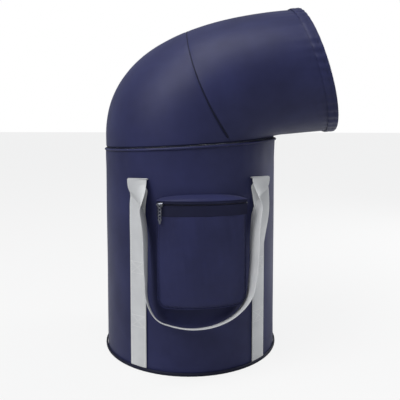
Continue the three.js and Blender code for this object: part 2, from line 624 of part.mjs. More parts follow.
/** The hanging loop of webbing. It lies flat at its two ends and turns edge-on between them. */
function handle() {
  const edgeOn = (x) => Math.sqrt((strapFace + CLEARANCE) ** 2 - x ** 2) + WEBBING_WIDTH / 2 + 1;
  const height = (drop) => STRAP_TOP - drop * HANDLE_DROP;
  const leg = (side, drop, lean = 0) => [side * foldSide, edgeOn(side * foldSide) + lean, height(drop)];
  const fold = (side) => [side * foldSide, foldFront, height(0)];
  const lead = (side) => [side * foldSide, foldFront, height(0.044)];
  const turning = (side) => [side * 0.947 * foldSide, foldFront + 5, height(0.166)];
  const points = [fold(-1), lead(-1), turning(-1), leg(-0.888, 0.351, 1), leg(-0.879, 0.628, 8),
    leg(-0.854, 0.828, 10), leg(-0.71, 0.946, 4), leg(-0.507, 0.983), leg(-0.169, 1), leg(0.169, 0.987),
    leg(0.507, 0.932), leg(0.727, 0.832, 4), leg(0.82, 0.628, 10), leg(0.863, 0.351, 2),
    turning(1), lead(1), fold(1)];
  const path = new THREE.CatmullRomCurve3(points.map(([x, y, z]) => new THREE.Vector3(x, -y, z)));
  path.curveType = "centripetal";
  const twistLength = 0.15; // share of the loop at each end over which the webbing turns
  return warped(new THREE.BoxGeometry(1, 1, 1, HANDLE_STEPS, 1, 1), (v) => {
    const along = v.x + 0.5;
    const start = THREE.MathUtils.smoothstep(along, 0.02, twistLength);
    const end = THREE.MathUtils.smoothstep(along, 1 - twistLength, 0.98);
    const turn = ((start + end) * Math.PI) / 2;
    const tangent = path.getTangentAt(along);
    const across = new THREE.Vector3(Math.cos(turn), -Math.sin(turn), 0);
    across.addScaledVector(tangent, -across.dot(tangent)).normalize();
    const normal = new THREE.Vector3().crossVectors(tangent, across);
    return path.getPointAt(along)
      .addScaledVector(across, v.y * WEBBING_WIDTH)
      .addScaledVector(normal, v.z * WEBBING_THICKNESS);
  });
}

function carrying(side, turn) {
  const group = new THREE.Group();
  group.rotation.z = turn;
  group.add(
    mesh(`${side}_strap_left`, strap(-STRAP_OFFSET), GREY_WEBBING),
    mesh(`${side}_strap_right`, strap(STRAP_OFFSET), GREY_WEBBING),
    mesh(`${side}_handle`, handle(), GREY_WEBBING),
  );
  return group;
}

// ---------------------------------------------------------------- pocket

/** Half the pocket's width, as an angle, at a height above its bottom edge. */
function pocketHalf(above) {
  const corner = Math.max(POCKET_CORNER - above, 0);
  const drawnIn = POCKET_CORNER - Math.sqrt(POCKET_CORNER ** 2 - corner ** 2);
  return POCKET_HALF_ANGLE - drawnIn / BARREL_RADIUS;
}

/** How far the filled pocket's front stands out at a share of its width and height. */
function pocketBulge(across, up) {
  return POCKET_BULGE * Math.cos((across * Math.PI) / 2) * Math.sin(up * Math.PI);
}

function pocketFront() {
  const height = POCKET_PANEL_TOP - POCKET_BOTTOM;
  return warped(new THREE.BoxGeometry(1, 1, 1, 12, 1, 6), (v) => {
    const up = (v.z + 0.5) ** 1.6;
    const across = 2 * v.x;
    const inner = POCKET_SKIN_INNER + pocketBulge(across, up);
    return onWall(across * pocketHalf(up * height), inner + (0.5 - v.y) * POCKET_CLOTH,
      POCKET_BOTTOM + up * height);
  });
}

/** The strip that makes the pocket's sides and bottom, drawn flat and then wrapped on the wall. */
function pocketGusset() {
  const middle = (POCKET_INNER + POCKET_SKIN_INNER) / 2;
  const top = POCKET_TAPE_TOP;
  const edge = (inset) => {
    const points = [];
    const half = POCKET_HALF_ANGLE * middle - inset;
    const corner = POCKET_CORNER - inset;
    const low = POCKET_BOTTOM + inset;
    points.push([-half, top], [-half, low + corner]);
    for (let i = 1; i <= 5; i += 1) {
      const turn = (i * Math.PI) / 10;
      points.push([-half + corner * (1 - Math.cos(turn)), low + corner * (1 - Math.sin(turn))]);
    }
    const run = 2 * (half - corner);
    for (let i = 1; i < 8; i += 1) points.push([-half + corner + (run * i) / 8, low]);
    const mirrored = points.slice(0, 7).map(([s, z]) => [-s, z]).reverse();
    return [...points, ...mirrored];
  };
  const [outside, inside] = [edge(0), edge(POCKET_CLOTH)];
  const columns = outside.length - 1;
  const depth = POCKET_SKIN_INNER - CLEARANCE - POCKET_INNER;
  return warped(new THREE.BoxGeometry(1, 1, 1, columns, 1, 1), (v) => {
    const i = Math.round((v.x + 0.5) * columns);
    const [s, z] = v.y < 0 ? outside[i] : inside[i];
    return onWall(s / middle, POCKET_INNER + (v.z + 0.5) * depth, z);
  });
}

/** The arched panel over the zip, sloping from the wall down to the upper tape. */
function pocketTop() {
  const low = POCKET_TAPE_TOP + CLEARANCE;
  const high = POCKET_TOP - POCKET_CLOTH;
  return warped(new THREE.BoxGeometry(1, 1, 1, 12, 1, 1), (v) => {
    const across = 2 * v.x;
    const arch = (high - low) * Math.sqrt(Math.max(1 - 0.6 * across ** 4, 0));
    const towardsWall = v.y + 0.5;
    const radius = THREE.MathUtils.lerp(POCKET_SKIN_OUTER, POCKET_INNER, towardsWall);
    const height = low + arch * towardsWall ** 0.7 + (v.z + 0.5) * POCKET_CLOTH;
    return onWall(across * POCKET_HALF_ANGLE, radius, height);
  });
}

/** A level strip across the pocket's mouth. */
function pocketStrip(inner, outer, bottom, top, half = POCKET_HALF_ANGLE) {
  return wallPlate({ from: -half, to: half, inner, outer, bottom, top, columns: 12 });
}

function pocket() {
  const group = new THREE.Group();
  group.rotation.z = FRONT_TURN;
  const tapeOuter = POCKET_SKIN_OUTER - 0.3;
  const tapeInner = tapeOuter - TAPE_THICKNESS;
  const coilOuter = tapeOuter + 0.2;
  const coilInner = coilOuter - COIL_THICKNESS;
  const coilBottom = POCKET_ZIP_HEIGHT - COIL_HALF_HEIGHT;
  const coilTop = POCKET_ZIP_HEIGHT + COIL_HALF_HEIGHT;
  const stopAngle = 2 / POCKET_SKIN_OUTER;
  const coilHalf = POCKET_HALF_ANGLE - stopAngle - CLEARANCE / POCKET_SKIN_OUTER;
  const stop = (from, to) => wallPlate({ from, to, inner: coilInner, outer: coilOuter,
    bottom: coilBottom, top: coilTop, columns: 1 });
  const sliderInner = coilOuter + CLEARANCE + 0.1;
  const sliderOuter = sliderInner + 2 * SLIDER_THICKNESS;
  const sliderHalf = 4;

  group.add(
    mesh("pocket_front", pocketFront(), NAVY),
    mesh("pocket_gusset", pocketGusset(), NAVY),
    mesh("pocket_top", pocketTop(), NAVY),
    mesh("pocket_tape_lower", pocketStrip(tapeInner, tapeOuter, POCKET_PANEL_TOP + CLEARANCE,
      coilBottom - CLEARANCE), NAVY_DARK),
    mesh("pocket_tape_upper", pocketStrip(tapeInner, tapeOuter, coilTop + CLEARANCE,
      POCKET_TAPE_TOP), NAVY_DARK),
    mesh("pocket_coil", pocketStrip(coilInner, coilOuter, coilBottom, coilTop, coilHalf), NAVY_DARK),
    mesh("pocket_stop_left", stop(-POCKET_HALF_ANGLE, -POCKET_HALF_ANGLE + stopAngle), GUNMETAL),
    mesh("pocket_stop_right", stop(POCKET_HALF_ANGLE - stopAngle, POCKET_HALF_ANGLE), GUNMETAL),
  );

  const parked = new THREE.Group();
  parked.rotation.z = -coilHalf + (SLIDER_LENGTH / 2 + 1) / POCKET_SKIN_OUTER;
  const slider = bar([[-sliderInner, -sliderHalf], [-sliderOuter, -sliderHalf / 2],
    [-sliderOuter, sliderHalf / 2], [-sliderInner, sliderHalf]], SLIDER_LENGTH);
  slider.translate(0, 0, POCKET_ZIP_HEIGHT);
  const pocketPull = mesh("pocket_pull", pull(POCKET_PULL_LENGTH, -sliderOuter), GUNMETAL);
  pocketPull.position.z = POCKET_ZIP_HEIGHT;
  parked.add(mesh("pocket_slider", slider, GUNMETAL), pocketPull);
  group.add(parked);
  return group;
}

// ---------------------------------------------------------------- steam port

function steamPort() {
  const group = new THREE.Group();
  group.rotation.z = Math.PI + FRONT_TURN;
  const face = -(BARREL_RADIUS + CLEARANCE);
  const sealFace = face - PORT_SEAL_THICKNESS;
  const flangeBack = sealFace - CLEARANCE;
  const flangeFace = flangeBack - PORT_FLANGE_THICKNESS;
  const wallInside = LINING_INNER * Math.cos(RING_STEP / 2);
  const nutFace = -(Math.sqrt(wallInside ** 2 - PORT_FLANGE_RADIUS ** 2) - CLEARANCE);
  const nutBack = nutFace + PORT_NUT_THICKNESS;
  const tubeEnd = nutBack + PORT_REACH;
  const nutBore = PORT_TUBE_RADIUS + CLEARANCE;
  const skirt = nutBore + DIFFUSER_WALL;
  const skirtStart = nutBack + CLEARANCE;
  const domeEnd = tubeEnd + CLEARANCE + DIFFUSER_WALL;
  const capFace = flangeFace - CLEARANCE;
  const capBack = capFace - CAP_THICKNESS;
  const plug = PORT_BORE_RADIUS - CAP_PLUG_CLEARANCE;
  const plugEnd = capFace + CAP_PLUG_LENGTH;
  const capRadius = PORT_BORE_RADIUS + CAP_OVERLAP;

  const flange = portRing([[PORT_BORE_RADIUS, flangeFace], [PORT_FLANGE_RADIUS, flangeFace],
    [PORT_FLANGE_RADIUS, flangeBack], [PORT_TUBE_RADIUS, flangeBack], [PORT_TUBE_RADIUS, tubeEnd],
    [PORT_BORE_RADIUS, tubeEnd]]);
  const seal = portRing([[nutBore, sealFace], [PORT_FLANGE_RADIUS, sealFace],
    [PORT_FLANGE_RADIUS, face], [nutBore, face]]);
  const nutShape = new THREE.CylinderGeometry(PORT_FLANGE_RADIUS, PORT_FLANGE_RADIUS, PORT_NUT_THICKNESS, 6);
  nutShape.translate(0, nutFace + PORT_NUT_THICKNESS / 2, PORT_HEIGHT);
  const nutHole = new THREE.CylinderGeometry(nutBore, nutBore, 4 * PORT_NUT_THICKNESS, PORT_SEGMENTS);
  nutHole.translate(0, nutFace, PORT_HEIGHT);

  const diffuserOutline = [[0, tubeEnd + CLEARANCE], [nutBore, tubeEnd + CLEARANCE],
    [nutBore, skirtStart], [skirt, skirtStart], [skirt, domeEnd - 1], [skirt - 1, domeEnd], [0, domeEnd]];
  const dome = diffuserOutline.map(([r, y]) => new THREE.Vector2(r, y));
  let diffuser = closed(new THREE.LatheGeometry(dome, PORT_SEGMENTS).translate(0, 0, PORT_HEIGHT));
  for (let i = 0; i < DIFFUSER_JETS; i += 1) {
    const turn = (i * 2 * Math.PI) / DIFFUSER_JETS;
    const jet = new THREE.CylinderGeometry(JET_RADIUS, JET_RADIUS, 4 * DIFFUSER_WALL, 8);
    jet.translate(JET_SPREAD * Math.cos(turn), domeEnd - DIFFUSER_WALL,
      PORT_HEIGHT + JET_SPREAD * Math.sin(turn));
    diffuser = cut(diffuser, closed(jet));
  }

  const capOutline = [[0, capBack], [capRadius - 1, capBack], [capRadius, capBack + 1],
    [capRadius, capFace], [plug, capFace], [plug, plugEnd], [0, plugEnd]];
  const capPoints = capOutline.map(([r, y]) => new THREE.Vector2(r, y));
  const capShape = new THREE.LatheGeometry(capPoints, PORT_SEGMENTS);

  group.add(
    mesh("port_flange", flange, PLASTIC),
    mesh("port_seal", seal, RUBBER),
    mesh("port_nut", cut(closed(nutShape), closed(nutHole)), PLASTIC),
    mesh("port_diffuser", diffuser, PLASTIC),
    mesh("port_cap", closed(capShape.translate(0, 0, PORT_HEIGHT)), RUBBER),
  );
  return group;
}

// ---------------------------------------------------------------- the whole object

const group = new THREE.Group();
group.add(
  barrel(),
  rim(),
  hood(),
  carrying("front", FRONT_TURN),
  carrying("back", Math.PI + FRONT_TURN),
  pocket(),
  steamPort(),
);

export default group;
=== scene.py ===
"""Looks of a portable steam sauna for the legs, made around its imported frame.

The padded barrel stands on the floor at the origin, its hood opens towards +X, and the side with the
main pocket faces -Y. Shapes are worked out in millimetres and become metres as each mesh is made.
"""

import json
import logging
import math
from collections.abc import Callable, Sequence
from dataclasses import dataclass, field
from enum import Enum

import bmesh
import bpy
import numpy as np
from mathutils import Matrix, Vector


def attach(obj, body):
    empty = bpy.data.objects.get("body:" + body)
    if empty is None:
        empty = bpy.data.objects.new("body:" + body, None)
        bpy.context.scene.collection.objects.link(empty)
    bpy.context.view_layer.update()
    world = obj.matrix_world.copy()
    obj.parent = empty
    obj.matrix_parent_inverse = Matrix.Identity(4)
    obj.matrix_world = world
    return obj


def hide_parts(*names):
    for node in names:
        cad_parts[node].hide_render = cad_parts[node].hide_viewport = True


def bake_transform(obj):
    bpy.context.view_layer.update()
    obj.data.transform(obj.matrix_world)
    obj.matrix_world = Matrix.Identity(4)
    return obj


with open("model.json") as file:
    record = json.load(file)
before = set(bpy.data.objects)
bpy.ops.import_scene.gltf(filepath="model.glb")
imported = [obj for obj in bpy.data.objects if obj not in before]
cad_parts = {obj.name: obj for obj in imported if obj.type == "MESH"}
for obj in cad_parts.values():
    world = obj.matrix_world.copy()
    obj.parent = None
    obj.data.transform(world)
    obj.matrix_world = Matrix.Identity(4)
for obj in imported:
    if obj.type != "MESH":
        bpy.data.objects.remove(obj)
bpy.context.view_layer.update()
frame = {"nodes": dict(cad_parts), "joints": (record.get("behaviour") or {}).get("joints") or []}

LOG = logging.getLogger("sauna")
MM = 0.001
TURN = 2 * math.pi
WAVE_SCALE = 0.314  # a wave texture repeats every metre at this scale
SMOOTH_ANGLE = math.radians(38)
SAME_POINT = 0.01  # millimetres: closer points are merged
PORT_HEIGHT = 62.0  # the steam inlet's axis above the floor

Grid = np.ndarray  # rows x columns x 3, in millimetres


# ---------------------------------------------------------------- finishes


def linear(hex_colour: str) -> tuple[float, float, float, float]:
    """Turn an sRGB hex colour into the linear colour that shaders use.

    Args:
        hex_colour: six hex digits.

    Returns:
        Red, green, blue and alpha.
    """
    channels = [int(hex_colour[i : i + 2], 16) / 255 for i in (0, 2, 4)]
    straight = [c / 12.92 if c <= 0.04045 else ((c + 0.055) / 1.055) ** 2.4 for c in channels]
    return (*straight, 1.0)


def add_node(
    tree: bpy.types.NodeTree,
    kind: str,
    settings: dict | None = None,
    links: dict | None = None,
) -> bpy.types.Node:
    """Add one node with its settings and links.

    Args:
        tree: the tree that the node joins.
        kind: the node's type name.
        settings: values of its properties and of its inputs, by name or number.
        links: the sockets that feed its inputs, by the input's name or number.

    Returns:
        The new node.
    """
    node = tree.nodes.new(kind)
    for key, value in (settings or {}).items():
        if isinstance(key, str) and hasattr(node, key):
            setattr(node, key, value)
        else:
            node.inputs[key].default_value = value
    for key, socket in (links or {}).items():
        tree.links.new(socket, node.inputs[key])
    return node


class Pattern(Enum):
    """The fine surface of a finish, by how it was made."""

    WEAVE = "crossed threads"
    RIBS = "cross ribs of narrow weaving"
    CRINKLE = "creased foil"
    CELLS = "cut foam"
    GRAIN = "moulded or ground"
    DRAWN = "lines drawn along the piece"


@dataclass(frozen=True)
class Finish:
    """One finish: colours, fine pattern and gloss. Its material is made once and then shared."""

    name: str
    # light and deep: the two ends of the colour; the deep one also colours the relief's low places as
    # painted shade
    light: str
    deep: str
    pattern: Pattern
    period: float  # millimetres between threads, ribs, cells or grains
    depth: float  # millimetres of relief
    roughness: tuple[float, float]
    metallic: float = 0.0
    sheen: float = 0.0
    gloss: float = 0.5  # level of the clear reflection
    patch: float = 70.0  # millimetres across a patch of slow colour change

    def material(self) -> bpy.types.Material:
        """Return the shared material, made at its first use."""
        known = bpy.data.materials.get(self.name)
        return known or self._build()

    def _build(self) -> bpy.types.Material:
        """Make the material's nodes, with painted shade in the relief's low places."""
        made = bpy.data.materials.new(self.name)
        made.use_nodes = True
        tree = made.node_tree
        tree.nodes.clear()
        place = add_node(tree, "ShaderNodeTexCoord")
        height = self._relief(tree, place)
        patches = add_node(
            tree, "ShaderNodeTexNoise",
            {"Scale": 1 / (self.patch * MM), "Detail": 3.0, "Roughness": 0.55},
            {"Vector": place.outputs["Object"]},
        )
        worn = add_node(
            tree, "ShaderNodeMapRange",
            {"From Min": 0.3, "From Max": 0.7, "To Min": 0.0, "To Max": 0.75},
            {"Value": patches.outputs["Fac"]},
        )
        # painted shade: the relief's low places (the grooves between threads, ribs, cells and creases)
        # take more of the deep colour; on grain and drawn lines this is tone that differs at random
        thread = add_node(
            tree, "ShaderNodeMath", {"operation": "MULTIPLY_ADD", 1: -0.3, 2: 0.3},
            {0: height},
        )
        share = add_node(
            tree, "ShaderNodeMath", {"operation": "ADD", "use_clamp": True},
            {0: worn.outputs["Result"], 1: thread.outputs[0]},
        )
        colour = add_node(
            tree, "ShaderNodeMix",
            {"data_type": "RGBA", 6: linear(self.light), 7: linear(self.deep)},
            {0: share.outputs[0]},
        )
        dull = add_node(
            tree, "ShaderNodeMapRange",
            {"To Min": self.roughness[0], "To Max": self.roughness[1]},
            {"Value": patches.outputs["Fac"]},
        )
        bump = add_node(
            tree, "ShaderNodeBump", {"Strength": 1.0, "Distance": self.depth * MM},
            {"Height": height},
        )
        shader = add_node(
            tree, "ShaderNodeBsdfPrincipled",
            {
                "Metallic": self.metallic, "Specular IOR Level": self.gloss,
                "Sheen Weight": self.sheen, "Sheen Roughness": 0.45,
            },
            {
                "Base Color": colour.outputs[2],
                "Roughness": dull.outputs["Result"],
                "Normal": bump.outputs["Normal"],
            },
        )
        add_node(tree, "ShaderNodeOutputMaterial", None, {"Surface": shader.outputs[0]})
        return made

    def _relief(
        self, tree: bpy.types.NodeTree, place: bpy.types.Node
    ) -> bpy.types.NodeSocket:
        """Add the nodes of the fine pattern.

        Args:
            tree: the material's tree.
            place: its texture coordinates.

        Returns:
            The socket that gives the relief's height, 0 to 1.
        """
        size = self.period * MM
        if self.pattern in (Pattern.WEAVE, Pattern.RIBS):
            along = add_node(
                tree, "ShaderNodeTexWave",
                {"bands_direction": "Y", "Scale": WAVE_SCALE / size, "Distortion": 0.3},
                {"Vector": place.outputs["UV"]},
            )
            across = add_node(
                tree, "ShaderNodeTexWave",
                {"bands_direction": "X", "Scale": WAVE_SCALE / size, "Distortion": 0.3},
                {"Vector": place.outputs["UV"]},
            )
            share = 0.5 if self.pattern is Pattern.WEAVE else 0.2
            return add_node(
                tree, "ShaderNodeMix", {"data_type": "FLOAT", 0: share},
                {2: along.outputs["Fac"], 3: across.outputs["Fac"]},
            ).outputs[0]
        if self.pattern is Pattern.CELLS:
            return add_node(
                tree, "ShaderNodeTexVoronoi", {"Scale": 1 / size},
                {"Vector": place.outputs["Object"]},
            ).outputs["Distance"]
        if self.pattern is Pattern.CRINKLE:
            return add_node(
                tree, "ShaderNodeTexNoise",
                {"Scale": 1 / size, "Detail": 4.0, "Roughness": 0.6, "Distortion": 1.2},
                {"Vector": place.outputs["Object"]},
            ).outputs["Fac"]
        stretch = (1.0, 1.0, 0.06) if self.pattern is Pattern.DRAWN else (1.0, 1.0, 1.0)
        turned = add_node(
            tree, "ShaderNodeMapping", {"Scale": stretch}, {"Vector": place.outputs["Object"]}
        )
        return add_node(
            tree, "ShaderNodeTexNoise", {"Scale": 1 / size, "Detail": 2.0},
            {"Vector": turned.outputs["Vector"]},
        ).outputs["Fac"]


# Coated nylon, plain woven: a dark body colour with a soft satin sheen. Real threads are 0.3 mm
# apart; they are drawn 1.1 mm apart so that they show.
NYLON = Finish(
    "coated_nylon", "2a2d53", "202243", Pattern.WEAVE, 1.1, 0.05, (0.42, 0.54), sheen=0.05, gloss=0.2
)
# The same nylon cut on the bias and folded double: darker, because it turns from the light.
NYLON_BINDING = Finish(
    "nylon_binding", "16182f", "0f1124", Pattern.RIBS, 1.2, 0.08, (0.55, 0.7), gloss=0.22
)
# Polypropylene webbing, narrow woven: pale grey ribs across the band, matt.
WEBBING = Finish("grey_webbing", "d2d3d3", "bbbcbe", Pattern.RIBS, 1.9, 0.25, (0.72, 0.85), sheen=0.2)
# Bonded polyester thread: a little lighter and shinier than the webbing it holds.
THREAD = Finish("sewing_thread", "eeeeec", "dadad8", Pattern.RIBS, 0.6, 0.05, (0.5, 0.6))
# Aluminised film on cloth: bright creases and soft broken reflections.
FOIL = Finish("silver_foil", "c9ccd0", "9ea2a8", Pattern.CRINKLE, 14.0, 0.8, (0.24, 0.4), metallic=0.85)
# Open-cell polyurethane foam, cut: matt, off-white, small pores.
FOAM = Finish("cut_foam", "eeece4", "d8d5c9", Pattern.CELLS, 1.6, 0.3, (0.9, 0.98))
# Polyester zip tape, twill woven: dark, fine, matt.
TAPE = Finish("zip_tape_twill", "1a1c39", "13152c", Pattern.RIBS, 0.9, 0.06, (0.6, 0.75), gloss=0.2)
# Nylon monofilament zip coil: dark, smooth, a little glossy.
COIL = Finish("nylon_coil", "20223c", "15172b", Pattern.GRAIN, 0.8, 0.02, (0.28, 0.4))
# Die-cast zinc, plated dark: metal with small wear marks.
GUNMETAL = Finish(
    "plated_zinc", "8b8d93", "5b5d64", Pattern.GRAIN, 1.2, 0.03, (0.24, 0.42), metallic=1.0, patch=6.0
)
# Spring steel wire, drawn: fine lines, bright grey.
SPRING_STEEL = Finish(
    "spring_steel", "a7abb0", "868a90", Pattern.DRAWN, 0.8, 0.03, (0.28, 0.4), metallic=1.0
)
# Fibreboard: dark grey, lightly grained.
FIBREBOARD = Finish("fibreboard", "38383b", "28282b", Pattern.GRAIN, 1.5, 0.1, (0.65, 0.8))
# Polypropylene, moulded with a fine spark texture: near black, semi-matt.
MOULDED = Finish(
    "moulded_plastic", "2d2e33", "232428", Pattern.GRAIN, 0.7, 0.04, (0.42, 0.55), patch=20.0
)
# Silicone-like seal rubber: black and dull.
RUBBER = Finish("seal_rubber", "1b1b1e", "131315", Pattern.GRAIN, 0.9, 0.03, (0.7, 0.85), patch=20.0)


# ---------------------------------------------------------------- meshes


def lengths(points: np.ndarray) -> np.ndarray:
    """Return the distance along a line of points at each of them, starting at 0."""
    steps = np.linalg.norm(np.diff(points, axis=0), axis=1)
    return np.concatenate([[0.0], np.cumsum(steps)])


def new_object(name: str, data: bpy.types.ID) -> bpy.types.Object:
    """Return a new object with this data, linked to the scene at the origin."""
    made = bpy.data.objects.new(name, data)
    bpy.context.scene.collection.objects.link(made)
    return made


def plain_mesh(piece: bpy.types.Object) -> bpy.types.Mesh:
    """Apply an object's modifiers.

    Args:
        piece: the object, whose modifiers are then removed.

    Returns:
        A new plain mesh with their result.
    """
    bpy.context.view_layer.update()
    seen = piece.evaluated_get(bpy.context.evaluated_depsgraph_get())
    made = bpy.data.meshes.new_from_object(seen)
    piece.modifiers.clear()
    return made


def merged(piece: bpy.types.Object) -> bpy.types.Object:
    """Merge the points of a piece that fall together, so that its poles are closed.

    Args:
        piece: the object.

    Returns:
        The same object.
    """
    work = bmesh.new()
    work.from_mesh(piece.data)
    bmesh.ops.remove_doubles(work, verts=work.verts, dist=SAME_POINT * MM)
    work.to_mesh(piece.data)
    work.free()
    return piece


def mesh_object(
    name: str, points: np.ndarray, faces: np.ndarray, uvs: np.ndarray
) -> bpy.types.Object:
    """Make a mesh object from points and faces of four corners.

    Args:
        name: the object's name.
        points: one row for each point, in millimetres.
        faces: one row of four point numbers for each face.
        uvs: one row for each corner of each face, in metres.

    Returns:
        The object, at the origin, with its faces turned outwards.
    """
    a, b, c, d = (points[faces[:, i]] for i in range(4))
    halves = ((b, c), (c, d))
    volume = sum(np.einsum("ij,ij->i", a, np.cross(p, q)).sum() for p, q in halves)
    if volume < 0:
        faces = faces[:, ::-1]
        uvs = uvs.reshape(-1, 4, 2)[:, ::-1].reshape(-1, 2)
    mesh = bpy.data.meshes.new(name)
    mesh.from_pydata((points * MM).tolist(), [], faces.tolist())
    layer = mesh.uv_layers.new(name="UVMap")
    layer.data.foreach_set("uv", uvs.astype(np.float32).ravel())
    mesh.shade_smooth()
    mesh.set_sharp_from_angle(angle=SMOOTH_ANGLE)
    return new_object(name, mesh)


def grid_faces(rows: int, columns: int, wrap: bool) -> tuple[np.ndarray, np.ndarray]:
    """Number the faces of a grid of points.

    Args:
        rows: how many rows of points.
        columns: how many points in a row.
        wrap: whether the last column meets the first.

    Returns:
        The point numbers of each face, and the same with the columns counted on past the last.
    """
    across = columns if wrap else columns - 1
    i, j = (n.ravel() for n in np.meshgrid(np.arange(rows - 1), np.arange(across), indexing="ij"))
    corners = [(i, j), (i, j + 1), (i + 1, j + 1), (i + 1, j)]
    faces = np.stack([row * columns + column % columns for row, column in corners], axis=1)
    counted = np.stack([row * (columns + 1) + column for row, column in corners], axis=1)
    return faces, counted


def slab(
    name: str, outer: Grid, inner: Grid, wrap: bool = False, keep: np.ndarray | None = None
) -> bpy.types.Object:
    """Make a closed sheet of cloth, foam or plate between two grids of points.

    Args:
        name: the object's name.
        outer: points of its outer skin.
        inner: points of its inner skin, in the same order.
        wrap: whether the last column meets the first.
        keep: which faces stay, one value for each; the rest leave a hole with its own edge.

    Returns:
        The object, with a UV map in metres.
    """
    rows, columns = outer.shape[:2]
    total = rows * columns
    faces, counted = grid_faces(rows, columns, wrap)
    middle = outer[rows // 2]
    u = lengths(np.vstack([middle, middle[:1]]))
    v = lengths(outer[:, columns // 4])
    grid_uv = np.stack(np.meshgrid(u, v), axis=-1).reshape(-1, 2) * MM
    if keep is not None:
        faces, counted = faces[keep], counted[keep]
    starts, ends = faces.ravel(), np.roll(faces, -1, axis=1).ravel()
    open_edge = ~np.isin(starts * total + ends, ends * total + starts)
    a, b = starts[open_edge], ends[open_edge]
    edge_uv = counted.ravel()[open_edge]
    border = np.stack([b, a, a + total, b + total], axis=1)
    all_faces = np.vstack([faces, faces[:, ::-1] + total, border])
    all_uv = np.concatenate([counted.ravel(), counted[:, ::-1].ravel(), np.repeat(edge_uv, 4)])
    points = np.vstack([outer.reshape(-1, 3), inner.reshape(-1, 3)])
    piece = mesh_object(name, points, all_faces, grid_uv[all_uv])
    return tidy_points(piece)


def tidy_points(piece: bpy.types.Object) -> bpy.types.Object:
    """Drop the points that no face uses.

    Args:
        piece: the object.

    Returns:
        The same object.
    """
    work = bmesh.new()
    work.from_mesh(piece.data)
    bmesh.ops.delete(work, geom=[v for v in work.verts if not v.link_faces], context="VERTS")
    work.to_mesh(piece.data)
    work.free()
    return piece


def ring_solid(name: str, sections: Grid) -> bpy.types.Object:
    """Make a closed solid from sections round a loop, each section a closed outline.

    Args:
        name: the object's name.
        sections: outline points by place round the loop; both directions close on themselves.

    Returns:
        The object, with points that fall together merged, so that poles are closed.
    """
    count, around = sections.shape[:2]
    closed = np.concatenate([sections, sections[:1]])
    faces, counted = grid_faces(count + 1, around, True)
    faces = np.where(faces >= count * around, faces - count * around, faces)
    u = lengths(np.vstack([sections[0], sections[0][:1]]))
    v = lengths(closed[:, 0])
    uv = np.stack(np.meshgrid(u, v), axis=-1).reshape(-1, 2) * MM
    piece = merged(mesh_object(name, sections.reshape(-1, 3), faces, uv[counted.ravel()]))
    piece.data.set_sharp_from_angle(angle=SMOOTH_ANGLE)
    return piece


def tube_sections(path: Grid, radius: float, around: int, closed: bool) -> Grid:
    """Return round sections along a line of points, for a wire or a rolled edge.

    Args:
        path: points of its middle line.
        radius: millimetres.
        around: points in a section.
        closed: whether the line ends where it starts.

    Returns:
        The sections.
    """
    tangent = np.roll(path, -1, 0) - np.roll(path, 1, 0) if closed else np.gradient(path, axis=0)
    tangent /= np.linalg.norm(tangent, axis=1, keepdims=True)
    up = np.array([0.013, 0.021, 1.0])
    side = np.cross(tangent, up)
    side /= np.linalg.norm(side, axis=1, keepdims=True)
    rise = np.cross(side, tangent)
    angle = np.linspace(0, TURN, around, endpoint=False)[None, :, None]
    return path[:, None] + radius * (np.cos(angle) * side[:, None] + np.sin(angle) * rise[:, None])


def lined(points: Sequence[Sequence[float]], count: int) -> np.ndarray:
    """Draw a smooth line through points.

    Args:
        points: the points that it passes.
        count: how many points the line has, evenly spaced.

    Returns:
        The line's points.
    """
    known = np.asarray(points, float)
    knots = np.concatenate([[0], np.cumsum(np.sqrt(np.linalg.norm(np.diff(known, axis=0), axis=1)))])
    slope = np.gradient(known, knots, axis=0)
    fine = np.linspace(0, knots[-1], 40 * len(known))
    i = np.clip(np.searchsorted(knots, fine, side="right") - 1, 0, len(knots) - 2)
    width = (knots[i + 1] - knots[i])[:, None]
    t = ((fine - knots[i]) / width[:, 0])[:, None]
    curve = (
        (2 * t**3 - 3 * t**2 + 1) * known[i]
        + (t**3 - 2 * t**2 + t) * width * slope[i]
        + (3 * t**2 - 2 * t**3) * known[i + 1]
        + (t**3 - t**2) * width * slope[i + 1]
    )
    s = lengths(curve)
    even = np.linspace(0, s[-1], count)
    return np.stack([np.interp(even, s, curve[:, k]) for k in range(known.shape[1])], axis=1)


def ribbon(
    name: str, path: Grid, across: Grid, width: float, thickness: float
) -> bpy.types.Object:
    """Make a band of webbing or tape along a line, with rounded edges.

    Args:
        name: the object's name.
        path: points of its middle line.
        across: the direction of its width at each point.
        width: millimetres.
        thickness: millimetres.

    Returns:
        The object, with U across the band and V along it.
    """
    tangent = np.gradient(path, axis=0)
    tangent /= np.linalg.norm(tangent, axis=1, keepdims=True)
    side = across - np.einsum("ij,ij->i", across, tangent)[:, None] * tangent
    side /= np.linalg.norm(side, axis=1, keepdims=True)
    normal = np.cross(tangent, side)
    places = np.array([-0.5, -0.485, -0.44, -0.3, -0.1, 0.1, 0.3, 0.44, 0.485, 0.5])
    halves = np.array([0.12, 0.34, 0.5, 0.5, 0.46, 0.46, 0.5, 0.5, 0.34, 0.12]) * thickness
    spread = path[:, None] + width * places[None, :, None] * side[:, None]
    offset = halves[None, :, None] * normal[:, None]
    return slab(name, spread + offset, spread - offset)


def ripple(
    points: np.ndarray, length: float, seed: int, stretch: Sequence[float] = (1, 1, 1)
) -> np.ndarray:
    """Return slow seeded waves of about -1 to 1 at points.

    Args:
        points: millimetres.
        length: the usual distance between crests.
        seed: fixes the waves.
        stretch: how busy the waves are along X, Y and Z.

    Returns:
        One value for each point.
    """
    rng = np.random.default_rng(seed)
    total = np.zeros(points.shape[:-1])
    for _ in range(7):
        heading = rng.normal(size=3)
        heading = heading / np.linalg.norm(heading) * np.asarray(stretch)
        wave = TURN / (length * rng.uniform(0.6, 1.7))
        total = total + np.sin(points @ heading * wave + rng.uniform(0, TURN))
    return total / 3.2


